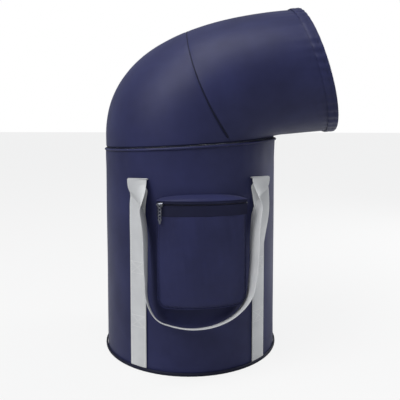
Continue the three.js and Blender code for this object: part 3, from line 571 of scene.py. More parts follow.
def eased(value: np.ndarray | float, low: float, high: float) -> np.ndarray:
    """Return 0 below low, 1 above high and a smooth rise between them."""
    t = np.clip((np.asarray(value, float) - low) / (high - low), 0, 1)
    return t * t * (3 - 2 * t)


def upright(angle: np.ndarray, radius: np.ndarray | float, height: np.ndarray | float) -> Grid:
    """Return points round the Z axis: angle from +X, radius and height."""
    return np.stack(np.broadcast_arrays(radius * np.cos(angle), radius * np.sin(angle), height), axis=-1)


# ---------------------------------------------------------------- what every sub-assembly shares


@dataclass(frozen=True)
class RimPlane:
    """The barrel's tilted top edge, taken from the joint that runs round it."""

    height: float
    tilt: float

    @classmethod
    def packed(cls) -> "RimPlane":
        """Read the plane from the frame."""
        joint = next(j for j in frame["joints"] if j["name"] == "rim_zip")
        axis = joint["axis"]
        return cls(joint["pos_m"][2] / MM, math.atan2(abs(axis[0]), abs(axis[2])))

    def place(self, local: Grid) -> Grid:
        """Turn points of the rim's own frame into the part's frame.

        Args:
            local: the points.

        Returns:
            The turned points.
        """
        cos, sin = math.cos(self.tilt), math.sin(self.tilt)
        x, y, z = local[..., 0], local[..., 1], local[..., 2]
        return np.stack([x * cos - z * sin, y, self.height + x * sin + z * cos], axis=-1)

    def above_floor(self, x: np.ndarray) -> np.ndarray:
        """Return the plane's height at a place along X."""
        return self.height + x * math.tan(self.tilt)


RIM = RimPlane.packed()


def fit(
    piece: bpy.types.Object, body: str, slot: str, finish: Finish, *nodes: str
) -> bpy.types.Object:
    """Dress a finished piece, put it on its body and hide the CAD nodes that it replaces.

    Args:
        piece: a plain mesh in place.
        body: the CAD body that it moves with.
        slot: the record's material slot; not used.
        finish: its finish.
        nodes: the CAD nodes that it replaces.

    Returns:
        The same object.
    """
    piece.data.materials.clear()
    piece.data.materials.append(finish.material())
    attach(piece, body)
    if nodes:
        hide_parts(*nodes)
    LOG.info("%s: %d faces on %s", piece.name, len(piece.data.polygons), body)
    return piece


class Repeat(Enum):
    """The small shape that a row repeats."""

    BEAD = "a rounded stud, such as a stitch or a zip tooth"
    LINK = "an oval link"


@dataclass(frozen=True)
class Row:
    """A row of small equal shapes along a line, made with Geometry Nodes."""

    name: str
    shape: Repeat
    spacing: float  # millimetres
    size: tuple[float, float, float]  # along the line, across it, and proud of it
    finish: Finish

    def make(self, path: Grid, facing: Grid) -> bpy.types.Object:
        """Lay the row.

        Args:
            path: the line, in millimetres.
            facing: the direction that the shapes stand out in, at each point of the line.

        Returns:
            A plain mesh object.
        """
        mesh = bpy.data.meshes.new(self.name)
        edges = [(i, i + 1) for i in range(len(path) - 1)]
        mesh.from_pydata((path * MM).tolist(), edges, [])
        outward = mesh.attributes.new("facing", "FLOAT_VECTOR", "POINT")
        outward.data.foreach_set("vector", facing.astype(np.float32).ravel())
        host = new_object(self.name + "_line", mesh)
        tree, sockets = row_tree(self.shape)
        modifier = host.modifiers.new("row", "NODES")
        modifier.node_group = tree
        modifier[sockets["Spacing"]] = self.spacing * MM
        modifier[sockets["Size"]] = [s * MM for s in self.size]
        modifier[sockets["Finish"]] = self.finish.material()
        made = plain_mesh(host)
        bpy.data.objects.remove(host)
        made.name = self.name
        return new_object(self.name, made)


def row_tree(shape: Repeat) -> tuple[bpy.types.NodeTree, dict[str, str]]:
    """Make the tree that repeats a small shape along a line.

    Args:
        shape: which shape.

    Returns:
        The tree, and the identifier of each input by its name.
    """
    tree = bpy.data.node_groups.new(f"row_of_{shape.name.lower()}s", "GeometryNodeTree")
    wanted = {
        "Line": "NodeSocketGeometry", "Spacing": "NodeSocketFloat",
        "Size": "NodeSocketVector", "Finish": "NodeSocketMaterial",
    }
    sockets = {}
    for label, kind in wanted.items():
        socket = tree.interface.new_socket(name=label, in_out="INPUT", socket_type=kind)
        sockets[label] = socket.identifier
    tree.interface.new_socket(name="Row", in_out="OUTPUT", socket_type="NodeSocketGeometry")
    given = add_node(tree, "NodeGroupInput")
    line = add_node(tree, "GeometryNodeMeshToCurve", None, {0: given.outputs["Line"]})
    evenly = add_node(
        tree, "GeometryNodeResampleCurve", {"mode": "LENGTH"},
        {"Curve": line.outputs[0], "Length": given.outputs["Spacing"]},
    )
    tangent = add_node(tree, "GeometryNodeInputTangent")
    outward = add_node(
        tree, "GeometryNodeInputNamedAttribute", {"data_type": "FLOAT_VECTOR", "Name": "facing"}
    )
    forward = add_node(
        tree, "FunctionNodeAlignRotationToVector", {"axis": "X"}, {"Vector": tangent.outputs[0]}
    )
    stood = add_node(
        tree, "FunctionNodeAlignRotationToVector", {"axis": "Z", "pivot_axis": "X"},
        {"Rotation": forward.outputs[0], "Vector": outward.outputs[0]},
    )
    if shape is Repeat.BEAD:
        bead = add_node(
            tree, "GeometryNodeMeshUVSphere", {"Segments": 8, "Rings": 4, "Radius": 0.5}
        ).outputs["Mesh"]
    else:
        loop = add_node(tree, "GeometryNodeCurvePrimitiveCircle", {"Resolution": 14, "Radius": 0.36})
        wire = add_node(tree, "GeometryNodeCurvePrimitiveCircle", {"Resolution": 6, "Radius": 0.14})
        bead = add_node(
            tree, "GeometryNodeCurveToMesh", None,
            {"Curve": loop.outputs[0], "Profile Curve": wire.outputs[0]},
        ).outputs[0]
    placed = add_node(
        tree, "GeometryNodeInstanceOnPoints", None,
        {
            "Points": evenly.outputs[0], "Instance": bead,
            "Rotation": stood.outputs[0], "Scale": given.outputs["Size"],
        },
    )
    real = add_node(tree, "GeometryNodeRealizeInstances", None, {0: placed.outputs[0]})
    soft = add_node(tree, "GeometryNodeSetShadeSmooth", None, {0: real.outputs[0]})
    dressed = add_node(
        tree, "GeometryNodeSetMaterial", None,
        {"Geometry": soft.outputs[0], "Material": given.outputs["Finish"]},
    )
    add_node(tree, "NodeGroupOutput", None, {0: dressed.outputs[0]})
    return tree, sockets


# ---------------------------------------------------------------- barrel


@dataclass
class Barrel:
    """The upright padded wall and its floor."""

    radius: float = 180.0
    cloth: float = 0.8
    sink: float = 1.7  # how far the cloth may dip between its supports
    foam: tuple[float, float] = (172.6, 176.7)
    foil: tuple[float, float] = (171.1, 171.9)
    columns: int = 252
    rows: int = 84
    below_rim: float = 5.3
    port_clear: float = 15.6
    tilt_rise: float = 11.0  # from the tilted top edge's middle height to its highest point
    piping_middle: tuple[float, float] = (181.75, 3.5)  # radius and height
    piping_half: tuple[float, float] = (1.75, 3.35)
    spring_radius: float = 174.8
    spring_wire: float = 1.45
    foot_spring: float = 11.0  # height above the floor
    rim_spring: float = 13.3  # distance below the rim
    back_turn: float = math.radians(101)  # the port's direction, from +X

    def build(self) -> None:
        """Make the wall's layers and the floor's."""
        shell = self._layer("shell_cloth", self._shell_radius, self.cloth, 0.2, self.below_rim)
        fit(shell, "barrel", "shell_cloth", NYLON, "barrel_shell")
        foam = self._layer(
            "wall_foam", self._foam_radius, self.foam[1] - self.foam[0], 13.0, 15.3, hidden=True
        )
        fit(foam, "barrel", "padding", FOAM, "barrel_padding")
        foil = self._layer(
            "wall_foil", self._foil_radius, self.foil[1] - self.foil[0] - 0.3, 2.0, self.below_rim
        )
        fit(foil, "barrel", "silver_lining", FOIL, "barrel_lining")
        self._floor()

    def _layer(
        self, name: str, radius: Callable[[Grid], np.ndarray], thick: float,
        bottom: float, below: float, hidden: bool = False,
    ) -> bpy.types.Object:
        """Make one layer of the wall, up to a distance below the rim, with the port's hole.

        Args:
            name: the object's name.
            radius: gives the outer radius at points of an even wall.
            thick: millimetres.
            bottom: height of its lower edge.
            below: distance of its upper edge below the rim plane.
            hidden: whether it lies inside the wall and may be coarser.

        Returns:
            The object.
        """
        columns = self.columns // 2 if hidden else self.columns
        rows = self.rows // 2 if hidden else self.rows
        angle = np.linspace(0, TURN, columns, endpoint=False)[None, :]
        share = np.linspace(0, 1, rows)[:, None]
        top = RIM.above_floor(self.radius * np.cos(angle)) - below
        height = bottom + share * (top - bottom)
        even = upright(angle + 0 * share, self.radius, height)
        outside = radius(even)
        outer = upright(angle, outside, height)
        inner = upright(angle, outside - thick, height)
        faces, _ = grid_faces(rows, columns, True)
        middle = even.reshape(-1, 3)[faces].mean(axis=1)
        way = np.array([math.cos(self.back_turn), math.sin(self.back_turn), 0.0])
        off_axis = middle - np.array([0, 0, PORT_HEIGHT])
        along = off_axis @ way
        distance = np.linalg.norm(off_axis - along[:, None] * way, axis=1)
        clear = self.port_clear + (3.0 if hidden else 0.0)
        return slab(name, outer, inner, True, (distance > clear) | (along < 0))

    def _shell_radius(self, even: Grid) -> np.ndarray:
        """Work out the cloth's outer radius: full at its edges and seams, sunk between them.

        Args:
            even: points of an even wall.

        Returns:
            One radius for each point.
        """
        below = RIM.above_floor(even[..., 0]) - self.below_rim - even[..., 2]
        free = eased(below, 0, 40) * eased(even[..., 2], 4, 50)
        slack = 0.5 + 0.35 * ripple(even, 190, 11, (1, 1, 0.5)) + 0.15 * ripple(even, 60, 12, (1, 1, 0.3))
        folds = (0.5 + 0.5 * ripple(even, 34, 13, (1, 1, 0.06))) * np.exp(-((below - 16) / 26) ** 2)
        foot = (0.5 + 0.5 * ripple(even, 46, 14, (1, 1, 0.2))) * np.exp(-((even[..., 2] - 14) / 16) ** 2)
        sunk = np.clip(free * slack + 0.55 * folds + 0.4 * foot, 0, 1)
        return self.radius - 0.05 - self.sink * sunk

    def _foam_radius(self, even: Grid) -> np.ndarray:
        """Work out the foam's outer radius: soft, with rounded ends.

        Args:
            even: points of an even wall.

        Returns:
            One radius for each point.
        """
        below = RIM.above_floor(even[..., 0]) - 15.3 - even[..., 2]
        ends = np.exp(-below / 2.5) + np.exp(-(even[..., 2] - 13) / 2.5)
        return self.foam[1] - 0.25 - 0.25 * ripple(even, 70, 15) - 1.2 * np.clip(ends, 0, 1)

    def _foil_radius(self, even: Grid) -> np.ndarray:
        """Return the lining's outer radius: creased between its seams."""
        return self.foil[1] - 0.15 + 0.14 * ripple(even, 40, 16)

    def _floor(self) -> None:
        """Make the base cloth, the board, the floor's lining, the piping and the two springs."""
        layers = (
            ("base_fabric", 178.2, 0.0, 1.5, "binding", NYLON_BINDING, "base_cloth", 0.0),
            ("stiffener", 170.6, 2.0, 5.8, "board", FIBREBOARD, "base_board", 0.0),
            ("floor_foil", 170.6, 6.3, 7.2, "silver_lining", FOIL, "floor_lining", 0.25),
        )
        for name, radius, low, high, slot, finish, node, wave in layers:
            piece = fit(self._disc(name, radius, low, high, wave), "barrel", slot, finish, node)
            if finish is not FIBREBOARD:
                wide = 2 * radius * MM
        turn = np.linspace(0, TURN, 240, endpoint=False)
        roll = np.linspace(0, TURN, 14, endpoint=False)
        bead = 1 + 0.03 * np.sin(turn * 90)
        (middle, height), (wide, tall) = self.piping_middle, self.piping_half
        out = middle + bead[:, None] * wide * np.cos(roll)
        up = height + bead[:, None] * tall * np.sin(roll)
        piping = ring_solid("foot_piping", upright(turn[:, None], out, up))
        fit(piping, "barrel", "binding", NYLON_BINDING, "base_piping")
        flat = upright(turn, self.spring_radius, 0.0)
        rings = (
            ("foot_spring", flat + [0, 0, self.foot_spring], "base_hoop"),
            ("rim_spring", RIM.place(flat + [0, 0, -self.rim_spring]), "rim_hoop"),
        )
        for name, ring, node in rings:
            spring = ring_solid(name, tube_sections(ring, self.spring_wire, 8, True))
            fit(spring, "barrel", "hoop_wire", SPRING_STEEL, node)

    @staticmethod
    def _disc(name: str, radius: float, low: float, high: float, wave: float) -> bpy.types.Object:
        """Make a round flat layer with rounded edges.

        Args:
            name: the object's name.
            radius: millimetres.
            low: height of its underside.
            high: height of its top.
            wave: depth of the top's waves, 0 for a board.

        Returns:
            The object.
        """
        turn = np.linspace(0, TURN, 96, endpoint=False)[None, :]
        edge = 0.3 * (high - low)
        ways = [0.0, 0.12, 0.25, 0.4, 0.55, 0.7, 0.85, 0.95]
        bottom = [(radius * w, low) for w in ways]
        top = [(radius * w, high) for w in reversed(ways)]
        outline = [*bottom, (radius - edge, low), (radius, low + edge),
                   (radius, high - edge), (radius - edge, high), *top]
        r, z = (np.array(c)[:, None] for c in zip(*outline))
        points = upright(turn, r, z + 0 * turn)
        dips = wave * (1 + ripple(points, 60, 17)) / 2 * (points[..., 2] > (low + high) / 2)
        points[..., 2] -= np.where(r > radius - 2 * edge, 0, dips)
        return ring_solid(name, np.swapaxes(points, 0, 1))


# ---------------------------------------------------------------- rim and its zip


@dataclass
class Rim:
    """The rolled lip, and the zip that joins the hood to the barrel."""

    lip_middle: float = 181.0
    lip_radius: float = 2.35
    tape: tuple[float, float] = (176.9, 177.8)
    zip_end: float = math.radians(160)
    tooth: float = 1.9  # between teeth
    tooth_radius: float = 177.2
    tooth_height: float = 0.66  # of each row, above or below the rim
    hinge_radius: float = 178.0
    hinge_reach: float = 1.2  # the bend's start and end, below and above the rim
    slider_angle: float = math.radians(158.1)
    slider_long: float = 10.0
    pull_pivot: float = -2.5
    pull_long: float = 26.0
    hinge_half: float = math.radians(17.6)

    def build(self) -> None:
        """Make the lip, the tapes, the teeth, the hinge cloth, the slider and its pull."""
        turn = np.linspace(0, TURN, 300, endpoint=False)
        roll = np.linspace(0, TURN, 16, endpoint=False)
        even = upright(turn, self.lip_middle, 0.0)
        swell = 1 + 0.05 * ripple(even, 22, 21)[:, None] + 0.06 * ripple(even, 75, 22)[:, None]
        out = self.lip_middle - 0.55 + swell * self.lip_radius * 0.98 * np.cos(roll)
        up = -2.55 + swell * self.lip_radius * np.sin(roll)
        lip = ring_solid("lip_roll", RIM.place(upright(turn[:, None], out, up)))
        fit(lip, "barrel", "shell_cloth", NYLON, "rim_lip")
        self._tapes()
        self._teeth()
        self._hinge()
        self._slider()
        for stop in ("rim_stop_start", "rim_stop_end"):
            dress_node(stop, GUNMETAL)

    def _tapes(self) -> None:
        """Make the two zip tapes, one on the barrel and one on the hood."""
        turn = np.linspace(0, TURN, 216, endpoint=False)[None, :]
        for name, low, high, body, node in (
            ("zip_tape_on_barrel", -11.4, -1.6, "barrel", "rim_tape_lower"),
            ("zip_tape_on_hood", 1.55, 7.5, "hood", "rim_tape_upper"),
        ):
            height = np.linspace(low, high, 5)[:, None] + 0 * turn
            outer = RIM.place(upright(turn, self.tape[1] - 0.05, height))
            inner = RIM.place(upright(turn, self.tape[0] + 0.05, height))
            fit(slab(name, outer, inner, True), body, "zip_tape", TAPE, node)

    def _teeth(self) -> None:
        """Lay the two rows of coil teeth, half a step apart."""
        for name, height, shift, body, node in (
            ("zip_coil_on_barrel", -self.tooth_height, 0.0, "barrel", "rim_coil_lower"),
            ("zip_coil_on_hood", self.tooth_height, 0.5, "hood", "rim_coil_upper"),
        ):
            half_step = shift * self.tooth / self.tooth_radius
            turn = np.linspace(half_step - self.zip_end, self.zip_end - half_step, 721)
            row = Row(name, Repeat.BEAD, self.tooth, (1.25, 1.0, 1.5), COIL)
            path = RIM.place(upright(turn, self.tooth_radius, height))
            piece = row.make(path, upright(turn, 1.0, 0.0))
            fit(piece, body, "zip_coil", COIL, node)

    def _hinge(self) -> None:
        """Make the stretch at the back that is sewn, where the hood bends over as it turns."""
        turn = math.pi + np.linspace(-self.hinge_half, self.hinge_half, 41)[None, :]
        height = np.linspace(-1.15, 1.15, 9)[:, None]
        pleat = 0.25 * np.cos(height * 2.4)
        outer = RIM.place(upright(turn, 177.7 + pleat, height))
        inner = RIM.place(upright(turn, 176.7 + pleat, height))
        piece = slab("hinge_cloth", outer, inner)
        piece.data.materials.append(NYLON_BINDING.material())
        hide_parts("hinge_gusset")
        radius, reach = self.hinge_radius, self.hinge_reach
        start, end = RIM.place(np.array([[-radius, 0.0, -reach], [-radius, 0.0, reach]])) * MM
        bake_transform(piece)
        LOG.info("%s: bends between barrel and hood", piece.name)

    def _slider(self) -> None:
        """Make the rim zip's slider and the flat tab that hangs from it."""
        body = rounded_bar(
            "rim_zip_slider",
            [(178.5, 0.4), (178.5, 3.3), (184.9, 3.3), (184.9, -6.9), (183.5, -6.9), (183.5, 0.4)],
            self.slider_long - 0.2, 0.5,
        )
        tab = tab_pull("rim_zip_tab", 185.4, 186.8, self.pull_long, 5.3)
        tab_mesh = read_points(tab) + [0, 0, self.pull_pivot]
        for piece, points, node in (
            (body, read_points(body), "rim_slider"), (tab, tab_mesh, "rim_pull"),
        ):
            write_points(piece, RIM.place(turned(points, self.slider_angle)))
            fit(piece, node, "zip_metal", GUNMETAL, node)


def turned(points: np.ndarray, angle: float) -> np.ndarray:
    """Turn points about the Z axis.

    Args:
        points: the points.
        angle: radians.

    Returns:
        The turned points.
    """
    cos, sin = math.cos(angle), math.sin(angle)
    x, y = points[..., 0], points[..., 1]
    return np.stack([x * cos - y * sin, x * sin + y * cos, points[..., 2]], axis=-1)


def read_points(piece: bpy.types.Object) -> np.ndarray:
    """Read a mesh's points.

    Args:
        piece: the object.

    Returns:
        One row for each point, in millimetres.
    """
    found = np.empty(len(piece.data.vertices) * 3, np.float32)
    piece.data.vertices.foreach_get("co", found)
    return found.reshape(-1, 3).astype(float) / MM


def write_points(piece: bpy.types.Object, points: np.ndarray) -> None:
    """Give a mesh's points their new places, in millimetres."""
    piece.data.vertices.foreach_set("co", (points * MM).astype(np.float32).ravel())
    piece.data.update()


def bevelled(piece: bpy.types.Object, width: float, segments: int = 2) -> bpy.types.Object:
    """Round a piece's edges and leave a plain mesh.

    Args:
        piece: the object.
        width: millimetres.
        segments: steps in the rounding.

    Returns:
        The same object.
    """
    bevel = piece.modifiers.new("edges", "BEVEL")
    bevel.width = width * MM
    bevel.segments = segments
    bevel.limit_method = "ANGLE"
    made = plain_mesh(piece)
    piece.data = made
    made.shade_smooth()
    made.set_sharp_from_angle(angle=SMOOTH_ANGLE)
    return piece


def rounded_bar(
    name: str, section: Sequence[tuple[float, float]], long: float, edge: float
) -> bpy.types.Object:
    """Make a bar along Y from a section in radius and height, with rounded edges.

    Args:
        name: the object's name.
        section: corner points, radius first.
        long: length along Y.
        edge: radius of its edges.

    Returns:
        The object.
    """
    work = bmesh.new()
    near, far = (
        [work.verts.new((r * MM, y * MM, z * MM)) for r, z in section] for y in (-long / 2, long / 2)
    )
    sides = [(near[i - 1], near[i], far[i], far[i - 1]) for i in range(len(section))]
    for corners in (near, far, *sides):
        work.faces.new(corners)
    bmesh.ops.recalc_face_normals(work, faces=work.faces)
    mesh = bpy.data.meshes.new(name)
    work.to_mesh(mesh)
    work.free()
    mesh.uv_layers.new(name="UVMap")
    return bevelled(new_object(name, mesh), edge)


def tab_pull(name: str, near: float, far: float, long: float, wide: float) -> bpy.types.Object:
    """Make a flat hanging tab with a waist and an oval window, its pin at z = 0.

    Args:
        name: the object's name.
        near: radius of its back face.
        far: radius of its front face.
        long: length below the pin.
        wide: full width.

    Returns:
        The object.
    """
    turn = np.linspace(0, TURN, 40, endpoint=False)
    drop = (1 - np.cos(turn)) / 2
    half = wide / 2 * np.sign(np.sin(turn)) * np.abs(np.sin(turn)) ** 0.35
    half *= 0.62 + 0.38 * eased(drop, 0.1, 0.8)
    y_out, z_out = half, 0.5 - drop * (long - 0.1 + 0.5)
    y_in, z_in = half * 0.45, -long * 0.42 - (drop - 0.5) * long * 0.42
    rings = [(near, y_in, z_in), (near, y_out, z_out), (far, y_out, z_out), (far, y_in, z_in)]
    outline = [upright(0 * turn, 0 * turn + r, z) + np.stack([0 * y, y, 0 * y], -1) for r, y, z in rings]
    return bevelled(ring_solid(name, np.swapaxes(np.array(outline), 0, 1)), 0.3)


def dress_node(node: str, finish: Finish) -> None:
    """Give a CAD node that stays in view its finish.

    Args:
        node: its name.
        finish: the finish.
    """
    held = frame["nodes"][node]
    held.data.materials.clear()
    held.data.materials.append(finish.material())
    LOG.info("%s: keeps its shape, finished as %s", node, finish.name)


# ---------------------------------------------------------------- hood


@dataclass
class HoodForm:
    """The hood's surface: angle about its axis (0 at the front and underside) and place along it.

    Along the hood, 0 is the rim, 1 the hem's seam and 2 the mouth's edge.
    """

    radius: float = 180.0
    mouth_top: tuple[float, float] = (221.0, 707.0)
    mouth_bottom: tuple[float, float] = (300.0, 457.0)
    mouth_half: float = 172.0
    hem: float = 18.0
    slope: float = 0.075
    upright_part: float = 23.0
    back_pull: float = 98.0
    top_pull: float = 322.0
    seam_ends: tuple[tuple[float, float], tuple[float, float]] = ((-4.0, 660.0), (90.0, 436.0))
    seam_bow: float = 13.0
    curve: np.ndarray = field(init=False)
    curve_at: np.ndarray = field(init=False)
    seam: np.ndarray = field(init=False)

    def __post_init__(self) -> None:
        """Work out the outline over the back and top, and the seam's line in the side view."""
        way = np.array([math.cos(self.slope), math.sin(self.slope)])
        self.way = way
        self.top = np.array(self.mouth_top) - way * self.hem
        self.bottom = np.array(self.mouth_bottom) - way * self.hem
        back, front = RIM.place(np.array([[-self.radius, 0, 4.0], [self.radius, 0, 4.0]]))[:, [0, 2]]
        self.front = front
        end = back + [0, self.upright_part]
        pulls = end, end + [0, self.back_pull], self.top - way * self.top_pull, self.top
        t = np.linspace(0, 1, 400)[:, None]
        bezier = sum(
            c * (1 - t) ** (3 - k) * t**k * p for k, (c, p) in enumerate(zip((1, 3, 3, 1), pulls))
        )
        self.curve = np.vstack([back[None], bezier])
        s = lengths(self.curve)
        self.curve_at = s / s[-1]
        a, b = (np.array(p) for p in self.seam_ends)
        step = b - a
        side = np.array([step[1], -step[0]]) / np.linalg.norm(step)
        middle = (a + b) / 2 + side * 2 * self.seam_bow
        t = np.linspace(0, 1, 200)[:, None]
        self.seam = (1 - t) ** 2 * a + 2 * t * (1 - t) * middle + t**2 * b

    def surface(self, angle: np.ndarray, along: np.ndarray) -> Grid:
        """Work out points of the outside.

        Args:
            angle: angle about the hood's axis.
            along: place along the hood.

        Returns:
            The points.
        """
        angle, along = np.broadcast_arrays(np.asarray(angle, float), np.asarray(along, float))
        held = np.minimum(along, 1)[..., None]
        step = np.maximum(along - 1, 0)[..., None] * self.hem * self.way
        top = np.stack([np.interp(held[..., 0], self.curve_at, self.curve[:, k]) for k in (0, 1)], -1)
        bottom = self.front + (self.bottom - self.front) * np.maximum(held, 0) ** 1.15
        middle, half = (top + bottom) / 2 + step, (bottom - top) / 2
        width = self.radius + (self.mouth_half - self.radius) * held[..., 0]
        side = middle + half * np.cos(angle)[..., None]
        return np.stack([side[..., 0], width * np.sin(angle), side[..., 1]], axis=-1)

    def point(self, angle: np.ndarray, along: np.ndarray, depth: np.ndarray | float) -> Grid:
        """Work out points in the wall.

        Args:
            angle: angle about the hood's axis.
            along: place along the hood.
            depth: distance inwards from the outside.

        Returns:
            The points.
        """
        angle, along = np.broadcast_arrays(np.asarray(angle, float), np.asarray(along, float))
        low = np.clip(along - 0.01, 0, 1.98)
        around = self.surface(angle + 0.01, along) - self.surface(angle - 0.01, along)
        forward = self.surface(angle, low + 0.02) - self.surface(angle, low)
        square = np.cross(around, forward)
        square /= np.maximum(np.linalg.norm(square, axis=-1, keepdims=True), 1e-9)
        return self.surface(angle, along) - square * np.asarray(depth)[..., None]

    def before_seam(self, angle: np.ndarray, along: np.ndarray) -> np.ndarray:
        """Work out how far points lie in front of the seam.

        Args:
            angle: angle about the hood's axis.
            along: place along the hood.

        Returns:
            Distances in millimetres, negative behind it.
        """
        place = self.surface(angle, along)
        return place[..., 0] - np.interp(place[..., 2], self.seam[::-1, 1], self.seam[::-1, 0])

    def seam_along(self, angle: np.ndarray) -> np.ndarray:
        """Find the seam's place along the hood, by halving.

        Args:
            angle: angles about the hood's axis.

        Returns:
            One place for each, 0 where the seam lies below the rim.
        """
        low, high = np.zeros_like(angle), np.ones_like(angle)
        for _ in range(30):
            middle = (low + high) / 2
            ahead = self.before_seam(angle, middle) > 0
            low, high = np.where(ahead, low, middle), np.where(ahead, middle, high)
        return high * (high > 1e-6)


@dataclass
class Hood:
    """The elbow-shaped hood: two panels with foam and linings, the hem and two springs."""

    form: HoodForm = field(default_factory=HoodForm)
    cloth: float = 0.8
    foam: tuple[float, float] = (2.9, 7.3)
    foil: tuple[float, float] = (8.15, 8.85)
    seam_start: float = math.radians(60.6)
    columns: int = 216
    hem_waves: int = 46
    seam_gap: float = 0.0007  # between each panel's edge and the seam, along the hood
    stitch_line: float = 1.62  # place along the hood
    bow_depth: float = 5.5
    bow_wire: float = 1.2
    welt_depth: float = 1.15
    seam_share: float = 1.35  # the rear cut's length, by the seam's own
    front_extra: float = 60.0  # length of the front cut beyond the run over the top
    hoop_along: float = 1.9
    hoop_depth: float = 4.8
    hoop_wire: float = 1.4

    def build(self) -> None:
        """Make every layer of the hood."""
        self._layers()
        self._hem()
        self._springs()

    def _rear_grid(self, rows: int, columns: int) -> tuple[Grid, Grid]:
        """Lay out a grid behind the seam.

        Args:
            rows: how many rows of points.
            columns: how many points in a row.

        Returns:
            The angle and the place along of each point.
        """
        angle = np.linspace(self.seam_start, TURN - self.seam_start, columns)[None, :]
        seam = np.maximum(self.form.seam_along(angle) - self.seam_gap, 0.004)
        share = np.linspace(0, 1, rows)[:, None]
        share = share + 0.16 * np.sin(TURN * share) / TURN * 2
        return angle + 0 * share, seam * share

    def _front_grid(self, rows: int, columns: int, end: float) -> tuple[Grid, Grid]:
        """Lay out a grid in front of the seam.

        Args:
            rows: how many rows of points.
            columns: how many points in a row.
            end: place along of the last row.

        Returns:
            The angle and the place along of each point.
        """
        angle = np.linspace(0, TURN, columns, endpoint=False)[None, :]
        seam = self.form.seam_along(angle)
        seam = seam + self.seam_gap * (seam > 0)
        share = np.linspace(0, 1, rows)[:, None] ** 1.25
        return angle + 0 * share, seam + (end - seam) * share

    @staticmethod
    def _low_on_seam(height: np.ndarray) -> np.ndarray:
        """Return 1 where the seam runs low on the sides, and 0 near its crown."""
        return eased(-height, -640, -440)

    def _depth(self, angle: Grid, along: Grid) -> np.ndarray:
        """Work out how far the outer cloth sinks: creases at seams, waves between them.

        Args:
            angle: angle about the hood's axis.
            along: place along the hood.

        Returns:
            Depths in millimetres.
        """
        form = self.form
        place = form.surface(angle, along)
        ahead = np.abs(form.before_seam(angle, along))
        reach = 0.35 + 0.65 * self._low_on_seam(place[..., 2])
        crease = (1.5 * np.exp(-((ahead / 3.0) ** 2)) + 0.5 * np.exp(-ahead / 16)) * reach
        rim = 0.5 * np.exp(-along / 0.02)
        hem = 0.9 * (0.5 + 0.5 * np.sin(angle * self.hem_waves)) * np.exp(-np.abs(along - 1) / 0.05)
        slack = 0.55 + 0.35 * ripple(place, 150, 31) + 0.12 * ripple(place, 48, 32)
        under = np.exp(-((np.cos(angle) - 1) / 0.14) ** 2) * np.exp(-((along - 0.16) / 0.12) ** 2)
        return np.clip(0.05 + 0.8 * slack + crease + rim + hem + 0.5 * under, 0.02, 2.0)

    def _layers(self) -> None:
        """Make the cloth, foam and lining of both panels."""
        form = self.form
        parts = (
            ("rear", self._rear_grid(64, 200), self._rear_grid(28, 100), False),
            ("front", self._front_grid(64, self.columns, 1.92), self._front_grid(28, 108, 1.8), True),
        )
        for side, (angle, along), (soft_angle, soft_along), wrap in parts:
            sunk = self._depth(angle, along)
            cloth = slab(
                f"{side}_panel_cloth", form.point(angle, along, sunk),
                form.point(angle, along, sunk + self.cloth), wrap,
            )
            fit(cloth, "hood", "shell_cloth", NYLON, f"hood_{side}_panel")
            puff = 0.2 * ripple(form.surface(soft_angle, soft_along), 60, 33)
            near = np.maximum(soft_along, 0.02)
            foam = slab(
                f"{side}_panel_foam", form.point(soft_angle, near, self.foam[0] + 0.25 + puff),
                form.point(soft_angle, near, self.foam[1] - 0.1), wrap,
            )
            fit(foam, "hood", "padding", FOAM, f"hood_{side}_padding")
            creases = 0.14 * ripple(form.surface(angle, along), 34, 34)
            foil = slab(
                f"{side}_panel_foil", form.point(angle, along, self.foil[0] + 0.15 + creases),
                form.point(angle, along, self.foil[1] - 0.15 + creases), wrap,
            )
            fit(foil, "hood", "silver_lining", FOIL, f"hood_{side}_lining")
            for piece in (cloth, foil):
                area = grid_area(form.point(angle, along, 0.0 if piece is cloth else self.foil[0]), wrap)

    def _hem(self) -> None:
        """Make the puckered band that folds over the mouth's edge, with its stitched line."""
        form = self.form
        turn = np.linspace(0, TURN, 460, endpoint=False)[:, None]
        outline = [
            (-0.3, 1.02), (-0.3, 2.0), (0.5, 2.012), (8.5, 2.012), (9.3, 2.0), (9.3, 1.02),
            (10.35, 1.02), (10.4, 1.4), (10.4, 1.8), (10.3, 2.02), (9.4, 2.075), (0.0, 2.08),
            (-1.1, 2.03), (-1.3, 1.85), (-0.9, 1.62), (-1.3, 1.4), (-1.2, 1.12), (-0.6, 1.0),
        ]
        depth, along = (np.array(c)[None, :] for c in zip(*outline))
        waves = np.sin(turn * self.hem_waves + 0.8 * np.sin(turn * 5)) * (0.7 + 0.3 * np.sin(turn * 7 + 1))
        outside = (depth < -0.5) | (along > 2.02)
        shift = np.where(outside, -0.55 + 0.75 * waves, 0)
        edge = np.where(along > 2.02, 0.006 * waves, 0)
        flat_along = np.clip(along + edge + 0 * turn, 0, 2)
        beyond = (along + edge + 0 * turn - flat_along)[..., None]
        points = form.point(turn + 0 * depth, flat_along, depth + shift)
        points = points + beyond * form.hem * np.array([form.way[0], 0, form.way[1]])
        fit(ring_solid("hem_fold", points), "hood", "shell_cloth", NYLON, "hem_band")
        line = np.linspace(0, TURN, 900)
        held = np.full_like(line, self.stitch_line)
        outward = form.point(line, held, 0.0) - form.point(line, held, 1.0)
        stitches = Row("hem_stitches", Repeat.BEAD, 4.0, (2.8, 0.6, 0.5), NYLON_BINDING)
        path = form.point(line, held, -1.55)
        fit(stitches.make(path, outward), "hood", "binding", NYLON_BINDING)

